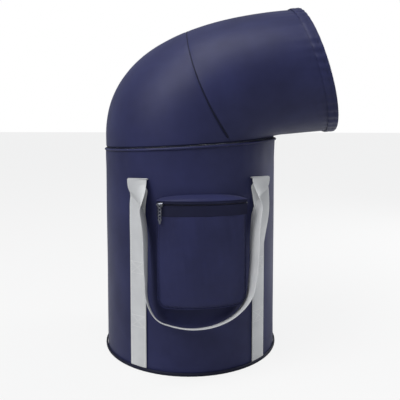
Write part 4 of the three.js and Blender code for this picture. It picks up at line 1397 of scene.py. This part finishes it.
    def _springs(self) -> None:
        """Make the wire arch in the seam, the mouth's hoop and the welt over the seam, a dark cord that is
        also painted shade in the seam's crease.
        """
        form = self.form
        angle = np.linspace(self.seam_start + 0.05, TURN - self.seam_start - 0.05, 220)
        along = form.seam_along(angle)
        bow = form.point(angle, along, self.bow_depth)
        ends = tube_sections(bow, self.bow_wire, 8, False)
        cap_low, cap_high = (np.repeat(bow[i][None, None], 8, axis=1) for i in (0, -1))
        wire = open_tube("seam_spring", np.concatenate([cap_low, ends, cap_high]))
        fit(wire, "hood", "hoop_wire", SPRING_STEEL, "hood_bow")
        # the welt is in the darker binding nylon and is thickest where the seam runs low: partly a welt,
        # partly painted shade along the seam's crease
        thick = 0.75 + 0.75 * self._low_on_seam(bow[:, 2])
        line = form.point(angle, along, self.welt_depth)
        spokes = tube_sections(line, 1.0, 10, False) - line[:, None]
        round_line = line[:, None] + spokes * thick[:, None, None]
        low, high = (np.repeat(line[i][None, None], 10, axis=1) for i in (0, -1))
        welt_and_painted_shade = open_tube("seam_welt_and_shade", np.concatenate([low, round_line, high]))
        fit(welt_and_painted_shade, "hood", "binding", NYLON_BINDING)
        turn = np.linspace(0, TURN, 240, endpoint=False)
        ring = form.point(turn, np.full_like(turn, self.hoop_along), self.hoop_depth)
        hoop = ring_solid("mouth_spring", tube_sections(ring, self.hoop_wire, 8, True))
        fit(hoop, "hood", "hoop_wire", SPRING_STEEL, "mouth_hoop")
        outward = form.point(angle, along, 0.0) - form.point(angle, along, 1.0)
        row = Row("seam_stitches", Repeat.BEAD, 3.4, (2.6, 0.55, 0.5), NYLON_BINDING)
        shown = along + 0.012
        fit(row.make(form.point(angle, shown, 1.35), outward), "hood", "binding", NYLON_BINDING)


def open_tube(name: str, sections: Grid) -> bpy.types.Object:
    """Make a wire whose first and last sections are drawn in to a point.

    Args:
        name: the object's name.
        sections: outline points by place along the wire.

    Returns:
        The object.
    """
    count, around = sections.shape[:2]
    faces, counted = grid_faces(count, around, True)
    u = np.linspace(0, 0.01, around + 1)
    uv = np.stack(np.meshgrid(u, lengths(sections[:, 0]) * MM), axis=-1).reshape(-1, 2)
    return merged(mesh_object(name, sections.reshape(-1, 3), faces, uv[counted.ravel()]))


def grid_area(points: Grid, wrap: bool) -> float:
    """Return the area of an even, uncreased grid of points, in square metres.

    Args:
        points: rows of points, in millimetres.
        wrap: whether the last column meets the first.

    Returns:
        The area.
    """
    if wrap:
        points = np.concatenate([points, points[:, :1]], axis=1)
    one = points[1:, 1:] - points[:-1, :-1]
    other = points[1:, :-1] - points[:-1, 1:]
    return float(np.linalg.norm(np.cross(one, other), axis=-1).sum() / 2) * MM * MM


# ---------------------------------------------------------------- straps and handles


class Face(Enum):
    """The two sides that carry a handle: the turn of each about Z, in degrees."""

    FRONT = 11
    BACK = 191

    def place(self, local: Grid) -> Grid:
        """Turn points of the side's own frame, whose outside is -Y, into the part's frame."""
        return turned(local, math.radians(self.value))

    @property
    def word(self) -> str:
        """Return the side's name, as the frame's bodies use it."""
        return self.name.lower()


@dataclass
class Carrying:
    """One side's webbing: two straps sewn to the wall, folded over into one hanging loop."""

    face: Face
    width: float = 37.6
    thickness: float = 1.7
    wall: float = 181.25
    offset: float = math.radians(40.5)
    fold_side: float = 118.26
    fold_front: float = 151.36
    fold_height: float = 370.0
    drop: float = 270.5
    strap_foot: float = 7.6
    tip: float = 19.0  # degrees by which the loop's front edge hangs higher than its back edge
    free_top: float = 352.0  # height up to which a strap follows the wall
    over_top: tuple[tuple[float, float], ...] = ((11.5, 364.5), (5.5, 370.6), (0.6, 371.3))
    loop_radius: float = 182.4
    loop_clear: float = 20.0  # between that radius and the loop's middle line
    seam_inset: float = 3.2
    cross_middles: tuple[float, float] = (96.0, 200.0)
    cross_half: float = 11.0

    def build(self) -> None:
        """Make the straps, the loop and the sewing."""
        word = self.face.word
        for side, sewn, bow, end in ((-1, 318.0, (0.6, 1.0), -20.0), (1, 236.0, (9.0, 4.5), 16.0)):
            hand = "left" if side < 0 else "right"
            strap = self._strap(f"{word}_web_{hand}", side, sewn, bow, math.radians(end))
            fit(strap, "barrel", "webbing", WEBBING, f"{word}_strap_{hand}")
            seams = self._sewing(f"{word}_sewing_{hand}", side, sewn)
            fit(seams, "barrel", "webbing", THREAD)
        loop = self._loop(f"{word}_web_loop")
        fit(loop, f"{word}_handle", "webbing", WEBBING, f"{word}_handle")

    def _strap(
        self, name: str, side: int, sewn: float, bow: tuple[float, float], end: float
    ) -> bpy.types.Object:
        """Make a strap, sewn flat below and free above, where it folds over.

        Args:
            name: the object's name.
            side: -1 left, 1 right.
            sewn: height where the sewing ends.
            bow: how far it stands off the wall in the free part and near the fold.
            end: direction of its width at the fold.

        Returns:
            The object.
        """
        x, out = self.wall * math.sin(self.offset), self.wall * math.cos(self.offset)
        way = np.array([math.sin(self.offset), math.cos(self.offset)])
        fold = np.array([side * self.fold_side, self.fold_front])
        proud = np.array([math.sin(end), math.cos(end)])
        along_wall = np.array([way[1], -side * way[0]])
        behind = fold - self.over_top[0][0] * proud
        sideways = float((behind - np.array([side * x, out])) @ along_wall)
        free = ((sewn + self.free_top) / 2, self.free_top)
        lean = eased(np.array(free), min(sewn, 290), 372) * sideways
        heights = (self.strap_foot, 90, 170, 235, sewn, *free)
        offs = (0, 0, 0, 0, 0, bow[0], bow[1])
        leans = (0, 0, 0, 0, 0, lean[0], lean[1])
        points = [
            (
                side * (x + off * way[0]) + shift * along_wall[0],
                out + off * way[1] + shift * along_wall[1],
                height,
            )
            for height, off, shift in sorted(set(zip(heights, offs, leans)))
        ]
        for back, height in self.over_top:
            points.append((*(fold - back * proud), height))
        path = lined(points, 150)
        share = eased(path[:, 2], min(sewn + 15, 330), 366)
        angle = side * self.offset + (end - side * self.offset) * share
        local = np.stack([path[:, 0], -path[:, 1], path[:, 2]], axis=1)
        across = np.stack([np.cos(angle), np.sin(angle), 0 * angle], axis=1)
        bent = self._hugging(ribbon(name, local, across, self.width, self.thickness), side, share, path)
        write_points(bent, self.face.place(read_points(bent)))
        return bent

    def _hugging(
        self, piece: bpy.types.Object, side: int, share: np.ndarray, path: Grid
    ) -> bpy.types.Object:
        """Bend a flat band round the wall where it lies on it.

        Args:
            piece: the band.
            side: -1 left, 1 right.
            share: how free of the wall it is, at each point of its middle line.
            path: points of its middle line.

        Returns:
            The same object.
        """
        points = read_points(piece)
        rising = slice(0, 110)  # the middle line's points below its turn over the top
        free = np.interp(points[:, 2], path[rising, 2], share[rising])
        normal = np.array([side * math.sin(self.offset), -math.cos(self.offset)])
        tangent = np.array([math.cos(self.offset), side * math.sin(self.offset)])
        spread = points[:, :2] @ tangent
        drop = self.wall - np.sqrt(np.maximum(self.wall**2 - spread**2, 0))
        points[:, :2] -= (drop * (1 - free))[:, None] * normal
        write_points(piece, points)
        return piece

    def _sewing(self, name: str, side: int, sewn: float) -> bpy.types.Object:
        """Lay a strap's stitches: two long rows and boxed crosses that bear the load.

        Args:
            name: the object's name.
            side: -1 left, 1 right.
            sewn: height where the sewing ends.

        Returns:
            The object.
        """
        half = self.width / 2 - self.seam_inset
        runs = [[(s * half, self.strap_foot + 5), (s * half, sewn - 4)] for s in (-1, 1)]
        for middle in self.cross_middles:
            low, high = middle - self.cross_half, middle + self.cross_half
            runs += [[(-half, low), (half, high)], [(-half, high), (half, low)]]
            runs += [[(-half, z), (half, z)] for z in (low, high)]
        rows = []
        stitch = Row(name, Repeat.BEAD, 3.6, (2.9, 1.1, 0.8), THREAD)
        for a, b in runs:
            line = np.linspace(a, b, 60)
            angle = side * self.offset + line[:, 0] / self.wall
            radius = self.wall + self.thickness / 2 - 0.02
            path = np.stack([radius * np.sin(angle), -radius * np.cos(angle), line[:, 1]], axis=1)
            outward = np.stack([np.sin(angle), -np.cos(angle), 0 * angle], axis=1)
            rows.append(stitch.make(self.face.place(path), self.face.place(outward)))
        return joined(name, rows)

    def _loop(self, name: str) -> bpy.types.Object:
        """Make the hanging loop, flat at its folds and edge-on between them, under this name."""

        def leg(side: float, drop: float, lean: float = 0.0) -> tuple[float, float, float]:
            """Return a point by shares of the half width and the drop, and a lean outwards."""
            x = side * self.fold_side
            out = math.sqrt(self.loop_radius**2 - x**2) + self.loop_clear + lean
            return x, out, self.fold_height - drop * self.drop

        points = [
            (-self.fold_side, self.fold_front, 370.0), (-self.fold_side, self.fold_front, 358.0),
            (-112.0, 156.4, 325.0), leg(-0.888, 0.351, 1), leg(-0.879, 0.628, 8), leg(-0.854, 0.828, 10),
            leg(-0.71, 0.946, 4), leg(-0.507, 0.983), leg(-0.169, 1), leg(0.169, 0.987),
            leg(0.507, 0.932), leg(0.727, 0.832, 4), leg(0.82, 0.628, 10), leg(0.863, 0.351, 2),
            (112.0, 156.4, 325.0), (self.fold_side, self.fold_front, 358.0),
            (self.fold_side, self.fold_front, 370.0),
        ]
        path = lined(points, 320)
        along = lengths(path) / lengths(path)[-1]
        turn = 20 + 85 * eased(along, 0.0, 0.1) - 15 * eased(along, 0.15, 0.45)
        turn = np.radians(turn - 15 * eased(along, 0.55, 0.82) + 89 * eased(along, 0.905, 1.0))
        lift = math.radians(self.tip) * eased(along, 0.2, 0.4) * eased(1 - along, 0.2, 0.4)
        local = np.stack([path[:, 0], -path[:, 1], path[:, 2]], axis=1)
        local[:, 1] += 0.5 * ripple(local, 60, 41) * eased(along, 0.1, 0.2) * eased(1 - along, 0.1, 0.2)
        across = np.stack([np.cos(turn), -np.sin(turn) * np.cos(lift), np.sin(lift)], axis=1)
        return ribbon(name, self.face.place(local), self.face.place(across), self.width, self.thickness)


def joined(name: str, pieces: Sequence[bpy.types.Object]) -> bpy.types.Object:
    """Join plain meshes into one object.

    Args:
        name: its name.
        pieces: the objects, which are removed.

    Returns:
        The new object.
    """
    work = bmesh.new()
    for piece in pieces:
        work.from_mesh(piece.data)
        bpy.data.objects.remove(piece)
    mesh = bpy.data.meshes.new(name)
    work.to_mesh(mesh)
    work.free()
    mesh.shade_smooth()
    return new_object(name, mesh)


# ---------------------------------------------------------------- pocket


@dataclass
class Pocket:
    """The zipped pocket on the front: face, side strip, lid, zip, slider and chain."""

    half: float = math.radians(24.8)
    wall: float = 180.45
    skin: float = 201.3
    cloth: float = 1.2
    bottom: float = 135.0
    panel_top: float = 306.0
    zip_height: float = 327.5
    tape_top: float = 333.0
    top: float = 344.0
    corner: float = 20.0
    bulge: float = 5.0
    tooth: float = 1.7
    chain_pivot: float = 206.0
    chain_reach: tuple[float, float] = (2.6, 26.5)  # the links' line, below the zip
    bead_drop: float = 26.0
    bead_long: float = 9.4
    cut_ease: float = 1.03  # the face is cut this much larger than it lies, for its crown
    side_wide: float = 21.5
    slider_angle: float = math.radians(-22.44)

    def build(self) -> None:
        """Make every piece of the pocket."""
        self._face()
        self._side()
        self._lid()
        self._zip()
        self._slider()

    @staticmethod
    def _round(angle: np.ndarray, radius: np.ndarray | float, height: np.ndarray | float) -> Grid:
        """Return points by angle to the right of the pocket's middle, radius and height."""
        return Face.FRONT.place(upright(np.asarray(angle) - math.pi / 2, radius, height))

    def _half_at(self, above: np.ndarray) -> np.ndarray:
        """Work out half the width, less in the round corners.

        Args:
            above: heights above the bottom edge.

        Returns:
            Angles.
        """
        short = np.clip(self.corner - above, 0, None)
        inset = self.corner - np.sqrt(np.maximum(self.corner**2 - short**2, 0))
        return self.half - inset / 180.0

    def _face(self) -> None:
        """Make the filled front panel, drawn in round its edge."""
        share = np.linspace(-1, 1, 97)[None, :]
        across = np.sin(share * math.pi / 2) * 0.25 + share * 0.75
        rise = np.linspace(0, 1, 113)[:, None]
        up = rise**1.25
        tall = self.panel_top - self.bottom
        half = self._half_at(up * tall)
        side_gap = half * self.skin * (1 - np.abs(across))
        near = np.minimum(side_gap, np.minimum(up * tall, 60 + 0 * up))
        angle = across * half
        even = self._round(angle, self.skin, self.bottom + up * tall)
        drawn = 4.2 * np.exp(-((near / 3.6) ** 1.4))
        folds = 0.7 * ripple(even, 52, 51, (1, 1, 0.7)) + 0.3 * ripple(even, 20, 52)
        folds = (folds - 0.5) * eased(near, 3, 22)
        puckers = 0.5 * np.sin((angle * self.skin + up * tall) * 0.75) * np.exp(-((near - 4) / 4) ** 2)
        full = self.bulge * np.cos(across * math.pi / 2) ** 0.8 * np.sin(up * math.pi) ** 0.8
        radius = self.skin + full - drawn + folds + puckers
        height = self.bottom + up * tall + 0.7 * np.exp(-(up * tall) / 2)
        outer, inner = (self._round(angle, radius - d, height + 0 * angle) for d in (0, self.cloth))
        face = slab("pocket_face", outer, inner)
        fit(face, "barrel", "shell_cloth", NYLON, "pocket_front")
        line_angle, line_up = self._edge_line(6.0)
        radius = np.interp(line_up, up[:, 0] * tall, radius[:, 8]) + 0.15
        path = self._round(line_angle, radius, self.bottom + line_up)
        outward = self._round(line_angle, 1.0, 0.0)
        stitches = Row("pocket_stitches", Repeat.BEAD, 3.4, (2.5, 0.6, 0.5), NYLON_BINDING)
        fit(stitches.make(path, outward), "barrel", "binding", NYLON_BINDING)

    def _edge_line(self, inset: float) -> tuple[np.ndarray, np.ndarray]:
        """Draw a U-shaped line inside the panel's edge.

        Args:
            inset: distance from the edge.

        Returns:
            The angles of its points, and their heights above the panel's bottom.
        """
        turn = np.linspace(0, math.pi / 2, 24)
        radius = self.corner - inset
        wide, tall = self.half * self.skin, self.panel_top - self.bottom
        x = np.concatenate([[-wide + inset], -wide + self.corner - radius * np.cos(turn)])
        z = np.concatenate([[tall - 4], self.corner - radius * np.sin(turn)])
        level = np.linspace(x[-1], -x[-1], 60)[1:-1]
        x = np.concatenate([x, level, -x[::-1]])
        z = np.concatenate([z, 0 * level + inset, z[::-1]])
        return x / self.skin, z

    def _side(self) -> None:
        """Make the strip that forms the sides and the bottom, softly sunk between its seams."""
        angle, up = self._edge_line(0.4)
        path = np.stack([angle * self.skin, up + self.bottom], axis=1)
        path[[0, -1], 1] = self.tape_top
        even = np.linspace(0, 1, 221) * lengths(path)[-1]
        x, z = (np.interp(even, lengths(path), path[:, k]) for k in (0, 1))
        slope = np.stack([np.gradient(x), np.gradient(z)], axis=1)
        slope /= np.linalg.norm(slope, axis=1, keepdims=True)
        inward = np.stack([-slope[:, 1], slope[:, 0]], axis=1)
        depth = np.linspace(self.wall, self.skin - 1.6, 17)[:, None]
        sunk = 1.5 * np.sin(np.linspace(0, math.pi, 17))[:, None] ** 0.7
        sunk = sunk * (1 + 0.5 * np.sin(even * 0.16) + 0.3 * np.sin(even * 0.41))[None, :]
        grids = []
        for inset in (0.0, self.cloth):
            s = x + (sunk + inset) * inward[:, 0]
            h = z + (sunk + inset) * inward[:, 1]
            grids.append(self._round(s / self.skin, depth + 0 * s, h))
        side = slab("pocket_side", *grids)
        fit(side, "barrel", "shell_cloth", NYLON, "pocket_gusset")

    def _lid(self) -> None:
        """Make the arched panel over the zip, with a rolled front edge."""
        across = np.linspace(-1, 1, 81)[None, :]
        share = np.linspace(0, 1, 25)[:, None]
        arch = (self.top - self.tape_top - 1.7) * np.sqrt(np.maximum(1 - 0.6 * across**4, 0))
        radius = self.skin + 0.4 - (self.skin - self.wall) * share + 1.0 * np.sin(share * math.pi)
        roll = 1.1 * np.exp(-share / 0.06)
        wave = 0.5 * np.sin(across * 14) * share * (1 - share)
        height = self.tape_top + 0.45 + (arch - 4.5 * across**2) * share**0.7 + wave
        angle = across * self.half + 0 * share
        outer = self._round(angle, radius - 0.4 * roll, height + 1.25)
        inner = self._round(angle, radius - 1.0 * share - 0.4 * roll, height + 0.05 + 0 * radius)
        lid = slab("pocket_lid", outer, inner)
        fit(lid, "barrel", "shell_cloth", NYLON, "pocket_top")

    def _zip(self) -> None:
        """Make the two tapes, the coil's teeth and the two stops' finish."""
        across = np.linspace(-1, 1, 61)[None, :]
        for name, low, high, node in (
            ("pocket_tape_low", self.panel_top + 0.4, self.zip_height - 1.6, "pocket_tape_lower"),
            ("pocket_tape_high", self.zip_height + 1.6, self.tape_top - 0.1, "pocket_tape_upper"),
        ):
            height = np.linspace(low, high, 9)[:, None]
            wave = 0.12 * np.sin((height - low) * 1.1)
            outer, inner = (
                self._round(across * self.half, self.skin - 0.25 - d + wave, height + 0 * across)
                for d in (0, 0.8)
            )
            fit(slab(name, outer, inner), "barrel", "zip_tape", TAPE, node)
        for_half = self.half - 2.4 / self.skin
        line = np.linspace(-for_half, for_half, 300)
        rows = []
        for height in (self.zip_height - 0.62, self.zip_height + 0.62):
            row = Row("pocket_teeth", Repeat.BEAD, self.tooth, (1.15, 1.15, 1.5), COIL)
            path = self._round(line, self.skin - 0.85, height)
            rows.append(row.make(path, self._round(line, 1.0, 0.0)))
        fit(joined("pocket_teeth", rows), "barrel", "zip_coil", COIL, "pocket_coil")
        for stop in ("pocket_stop_left", "pocket_stop_right"):
            dress_node(stop, GUNMETAL)

    def _slider(self) -> None:
        """Make the slider, and the chain of links that pulls it."""
        section = [(201.75, -4), (203.2, -3.6), (204.8, -2), (204.8, 2), (203.2, 3.6), (201.75, 4)]
        body = rounded_bar("pocket_zip_slider", section, 9.8, 0.5)
        way = math.radians(Face.FRONT.value) + self.slider_angle - math.pi / 2
        write_points(body, turned(read_points(body) + [0, 0, self.zip_height], way))
        fit(body, "pocket_slider", "zip_metal", GUNMETAL, "pocket_slider")
        drop = np.linspace(*self.chain_reach, 40)
        path = np.stack([0 * drop + self.chain_pivot, 0 * drop, self.zip_height - drop], axis=1)
        facing = np.tile([1.0, 0.0, 0.0], (len(drop), 1))
        links = Row("pocket_chain", Repeat.LINK, 5.6, (8.2, 7.4, 4.8), GUNMETAL)
        chain = links.make(turned(path, way), turned(facing, way))
        turn = np.linspace(0, TURN, 20, endpoint=False)
        fall = np.linspace(0, 1, 14)
        swell = 1.9 * np.sin(fall * math.pi) ** 0.6 * (0.75 + 0.5 * fall)
        radius = np.minimum(swell, 2.3)
        height = -self.bead_drop - self.bead_long * fall
        drop_points = np.stack(
            [self.chain_pivot + 0.38 * radius[:, None] * np.cos(turn), radius[:, None] * np.sin(turn),
             self.zip_height + height[:, None] + 0 * turn], axis=-1,
        )
        end = open_tube("chain_end", turned(drop_points, way))
        whole = joined("pocket_chain", [chain, end])
        fit(whole, "pocket_pull", "zip_metal", GUNMETAL, "pocket_pull")


# ---------------------------------------------------------------- steam inlet


class SteamInlet:
    """The inlet at the back: a flanged tube, its seal, a nut, a diffuser inside and a cap."""

    def build(self) -> None:
        """Turn the round pieces, and finish the nut and the diffuser."""
        flange = self._lathe("inlet_flange", [
            (9, 185.0), (9.4, 185.1), (14, 185.1), (14.5, 184.7), (15.2, 184.7), (15.7, 185.1),
            (19.2, 185.1), (20, 184.3), (20, 182.2), (12, 182.1), (12, 156.0), (9, 156.0),
        ])
        fit(flange, "barrel", "port_plastic", MOULDED, "port_flange")
        seal = self._lathe("inlet_seal", [
            (12.3, 180.35), (19.4, 180.35), (19.9, 180.8), (19.9, 181.3), (19.4, 181.8), (12.3, 181.8),
        ])
        fit(seal, "barrel", "port_rubber", RUBBER, "port_seal")
        cap = self._lathe("inlet_cap", [
            (0, 189.5), (5, 189.6), (6, 190.2), (13.6, 190.4), (14.7, 189.8), (15, 188.8),
            (14.8, 187.9), (15, 187.0), (14.8, 186.1), (14.9, 185.5), (8.6, 185.4), (8.6, 182.0),
            (8.3, 181.4), (8.6, 180.8), (8.5, 176.4), (7.6, 175.5), (0, 175.4),
        ])
        fit(cap, "port_cap", "port_rubber", RUBBER, "port_cap")
        for node in ("port_nut", "port_diffuser"):
            dress_node(node, MOULDED)

    @staticmethod
    def _lathe(name: str, outline: Sequence[tuple[float, float]]) -> bpy.types.Object:
        """Turn an outline about the inlet's axis.

        Args:
            name: the object's name.
            outline: radius, and distance out from the barrel's axis, of each point.

        Returns:
            The object.
        """
        turn = np.linspace(0, TURN, 72, endpoint=False)[:, None]
        r, out = (np.array(c, float)[None, :] for c in zip(*outline))
        local = np.stack([r * np.cos(turn), -out + 0 * turn, PORT_HEIGHT + r * np.sin(turn)], axis=-1)
        return ring_solid(name, Face.BACK.place(local))


# ---------------------------------------------------------------- studio


@dataclass
class Studio:
    """Floor, camera, soft lights and a white surround."""

    eye: tuple[float, float, float] = (0.0854, -1.15, 0.489)
    heading: float = math.radians(3.23)  # left of +Y
    pitch: float = math.radians(3.94)  # down
    lens: float = 48.18
    shift: float = -0.12
    floor_reach: float = 14.0  # metres, half the floor's side
    floor_gap: float = 0.0005  # metres between the floor and the object's base

    def build(self) -> None:
        """Make the studio."""
        self._camera()
        self._floor()
        self._world()
        self._light("key", (-1.5, -1.5, 2.0), (0, 0, 0.5), 1.3, 40)
        self._light("fill", (1.6, -1.9, 0.9), (0, 0, 0.35), 1.6, 5)
        self._light("rim", (1.5, 0.9, 0.9), (0.1, 0, 0.3), 0.7, 22)
        self._light("top", (-0.4, -0.5, 2.3), (0, 0, 0.5), 1.2, 24)
        bpy.context.scene.view_settings.view_transform = "Standard"

    def _camera(self) -> None:
        """Set the camera in front, a little above the object."""
        lens = bpy.data.cameras.new("view")
        lens.lens, lens.sensor_width, lens.shift_y = self.lens, 36.0, self.shift
        camera = new_object("view", lens)
        camera.location = self.eye
        level = math.cos(self.pitch)
        left, forward = math.sin(self.heading) * level, math.cos(self.heading) * level
        way = Vector((-left, forward, -math.sin(self.pitch)))
        camera.rotation_euler = way.to_track_quat("-Z", "Y").to_euler()
        bpy.context.scene.camera = camera

    def _floor(self) -> None:
        """Lay a pale plain floor."""
        mesh = bpy.data.meshes.new("studio_floor")
        reach, gap = self.floor_reach, self.floor_gap
        signs = ((-1, -1), (1, -1), (1, 1), (-1, 1))
        corners = [(x * reach, y * reach, -gap) for x, y in signs]
        mesh.from_pydata(corners, [], [(0, 1, 2, 3)])
        floor = new_object("studio_floor", mesh)
        paint = bpy.data.materials.new("matt_white_floor")
        paint.use_nodes = True
        shader = paint.node_tree.nodes["Principled BSDF"]
        shader.inputs["Base Color"].default_value = linear("c8c8c8")
        shader.inputs["Roughness"].default_value = 0.9
        glow = add_node(paint.node_tree, "ShaderNodeEmission", {"Strength": 0.97})
        path = add_node(paint.node_tree, "ShaderNodeLightPath")
        seen = add_node(
            paint.node_tree, "ShaderNodeMath", {"operation": "MULTIPLY", 1: 0.88},
            {0: path.outputs["Is Camera Ray"]},
        )
        mixed = add_node(
            paint.node_tree, "ShaderNodeMixShader", None,
            {0: seen.outputs[0], 1: shader.outputs[0], 2: glow.outputs[0]},
        )
        output = paint.node_tree.nodes["Material Output"]
        paint.node_tree.links.new(mixed.outputs[0], output.inputs["Surface"])
        mesh.materials.append(paint)

    @staticmethod
    def _world() -> None:
        """Make the surround white to the eye and dim to the object."""
        world = bpy.data.worlds.new("studio")
        world.use_nodes = True
        tree = world.node_tree
        tree.nodes.clear()
        seen = add_node(tree, "ShaderNodeBackground", {"Color": (1, 1, 1, 1), "Strength": 1.0})
        lit = add_node(tree, "ShaderNodeBackground", {"Color": (0.88, 0.93, 1, 1), "Strength": 0.3})
        path = add_node(tree, "ShaderNodeLightPath")
        mixed = add_node(
            tree, "ShaderNodeMixShader", None,
            {0: path.outputs["Is Camera Ray"], 1: lit.outputs[0], 2: seen.outputs[0]},
        )
        add_node(tree, "ShaderNodeOutputWorld", None, {"Surface": mixed.outputs[0]})
        bpy.context.scene.world = world

    @staticmethod
    def _light(
        name: str, place: Sequence[float], aim: Sequence[float], size: float, watts: float
    ) -> None:
        """Hang a square soft light.

        Args:
            name: its name.
            place: where it hangs, in metres.
            aim: the point that it faces.
            size: its side, in metres.
            watts: its power.
        """
        lamp = bpy.data.lights.new(name, "AREA")
        lamp.size, lamp.energy = size, watts
        held = new_object(name, lamp)
        held.location = place
        held.rotation_euler = (Vector(aim) - Vector(place)).to_track_quat("-Z", "Y").to_euler()


def main() -> None:
    """Build every sub-assembly in order, then the studio."""
    logging.basicConfig(level=logging.INFO, format="%(name)s: %(message)s")
    parts = [Barrel(), Rim(), Hood(), Carrying(Face.FRONT), Carrying(Face.BACK), Pocket(), SteamInlet()]
    for part in parts:
        LOG.info("building %s", type(part).__name__)
        part.build()
    Studio().build()


if __name__ == "__main__":
    main()
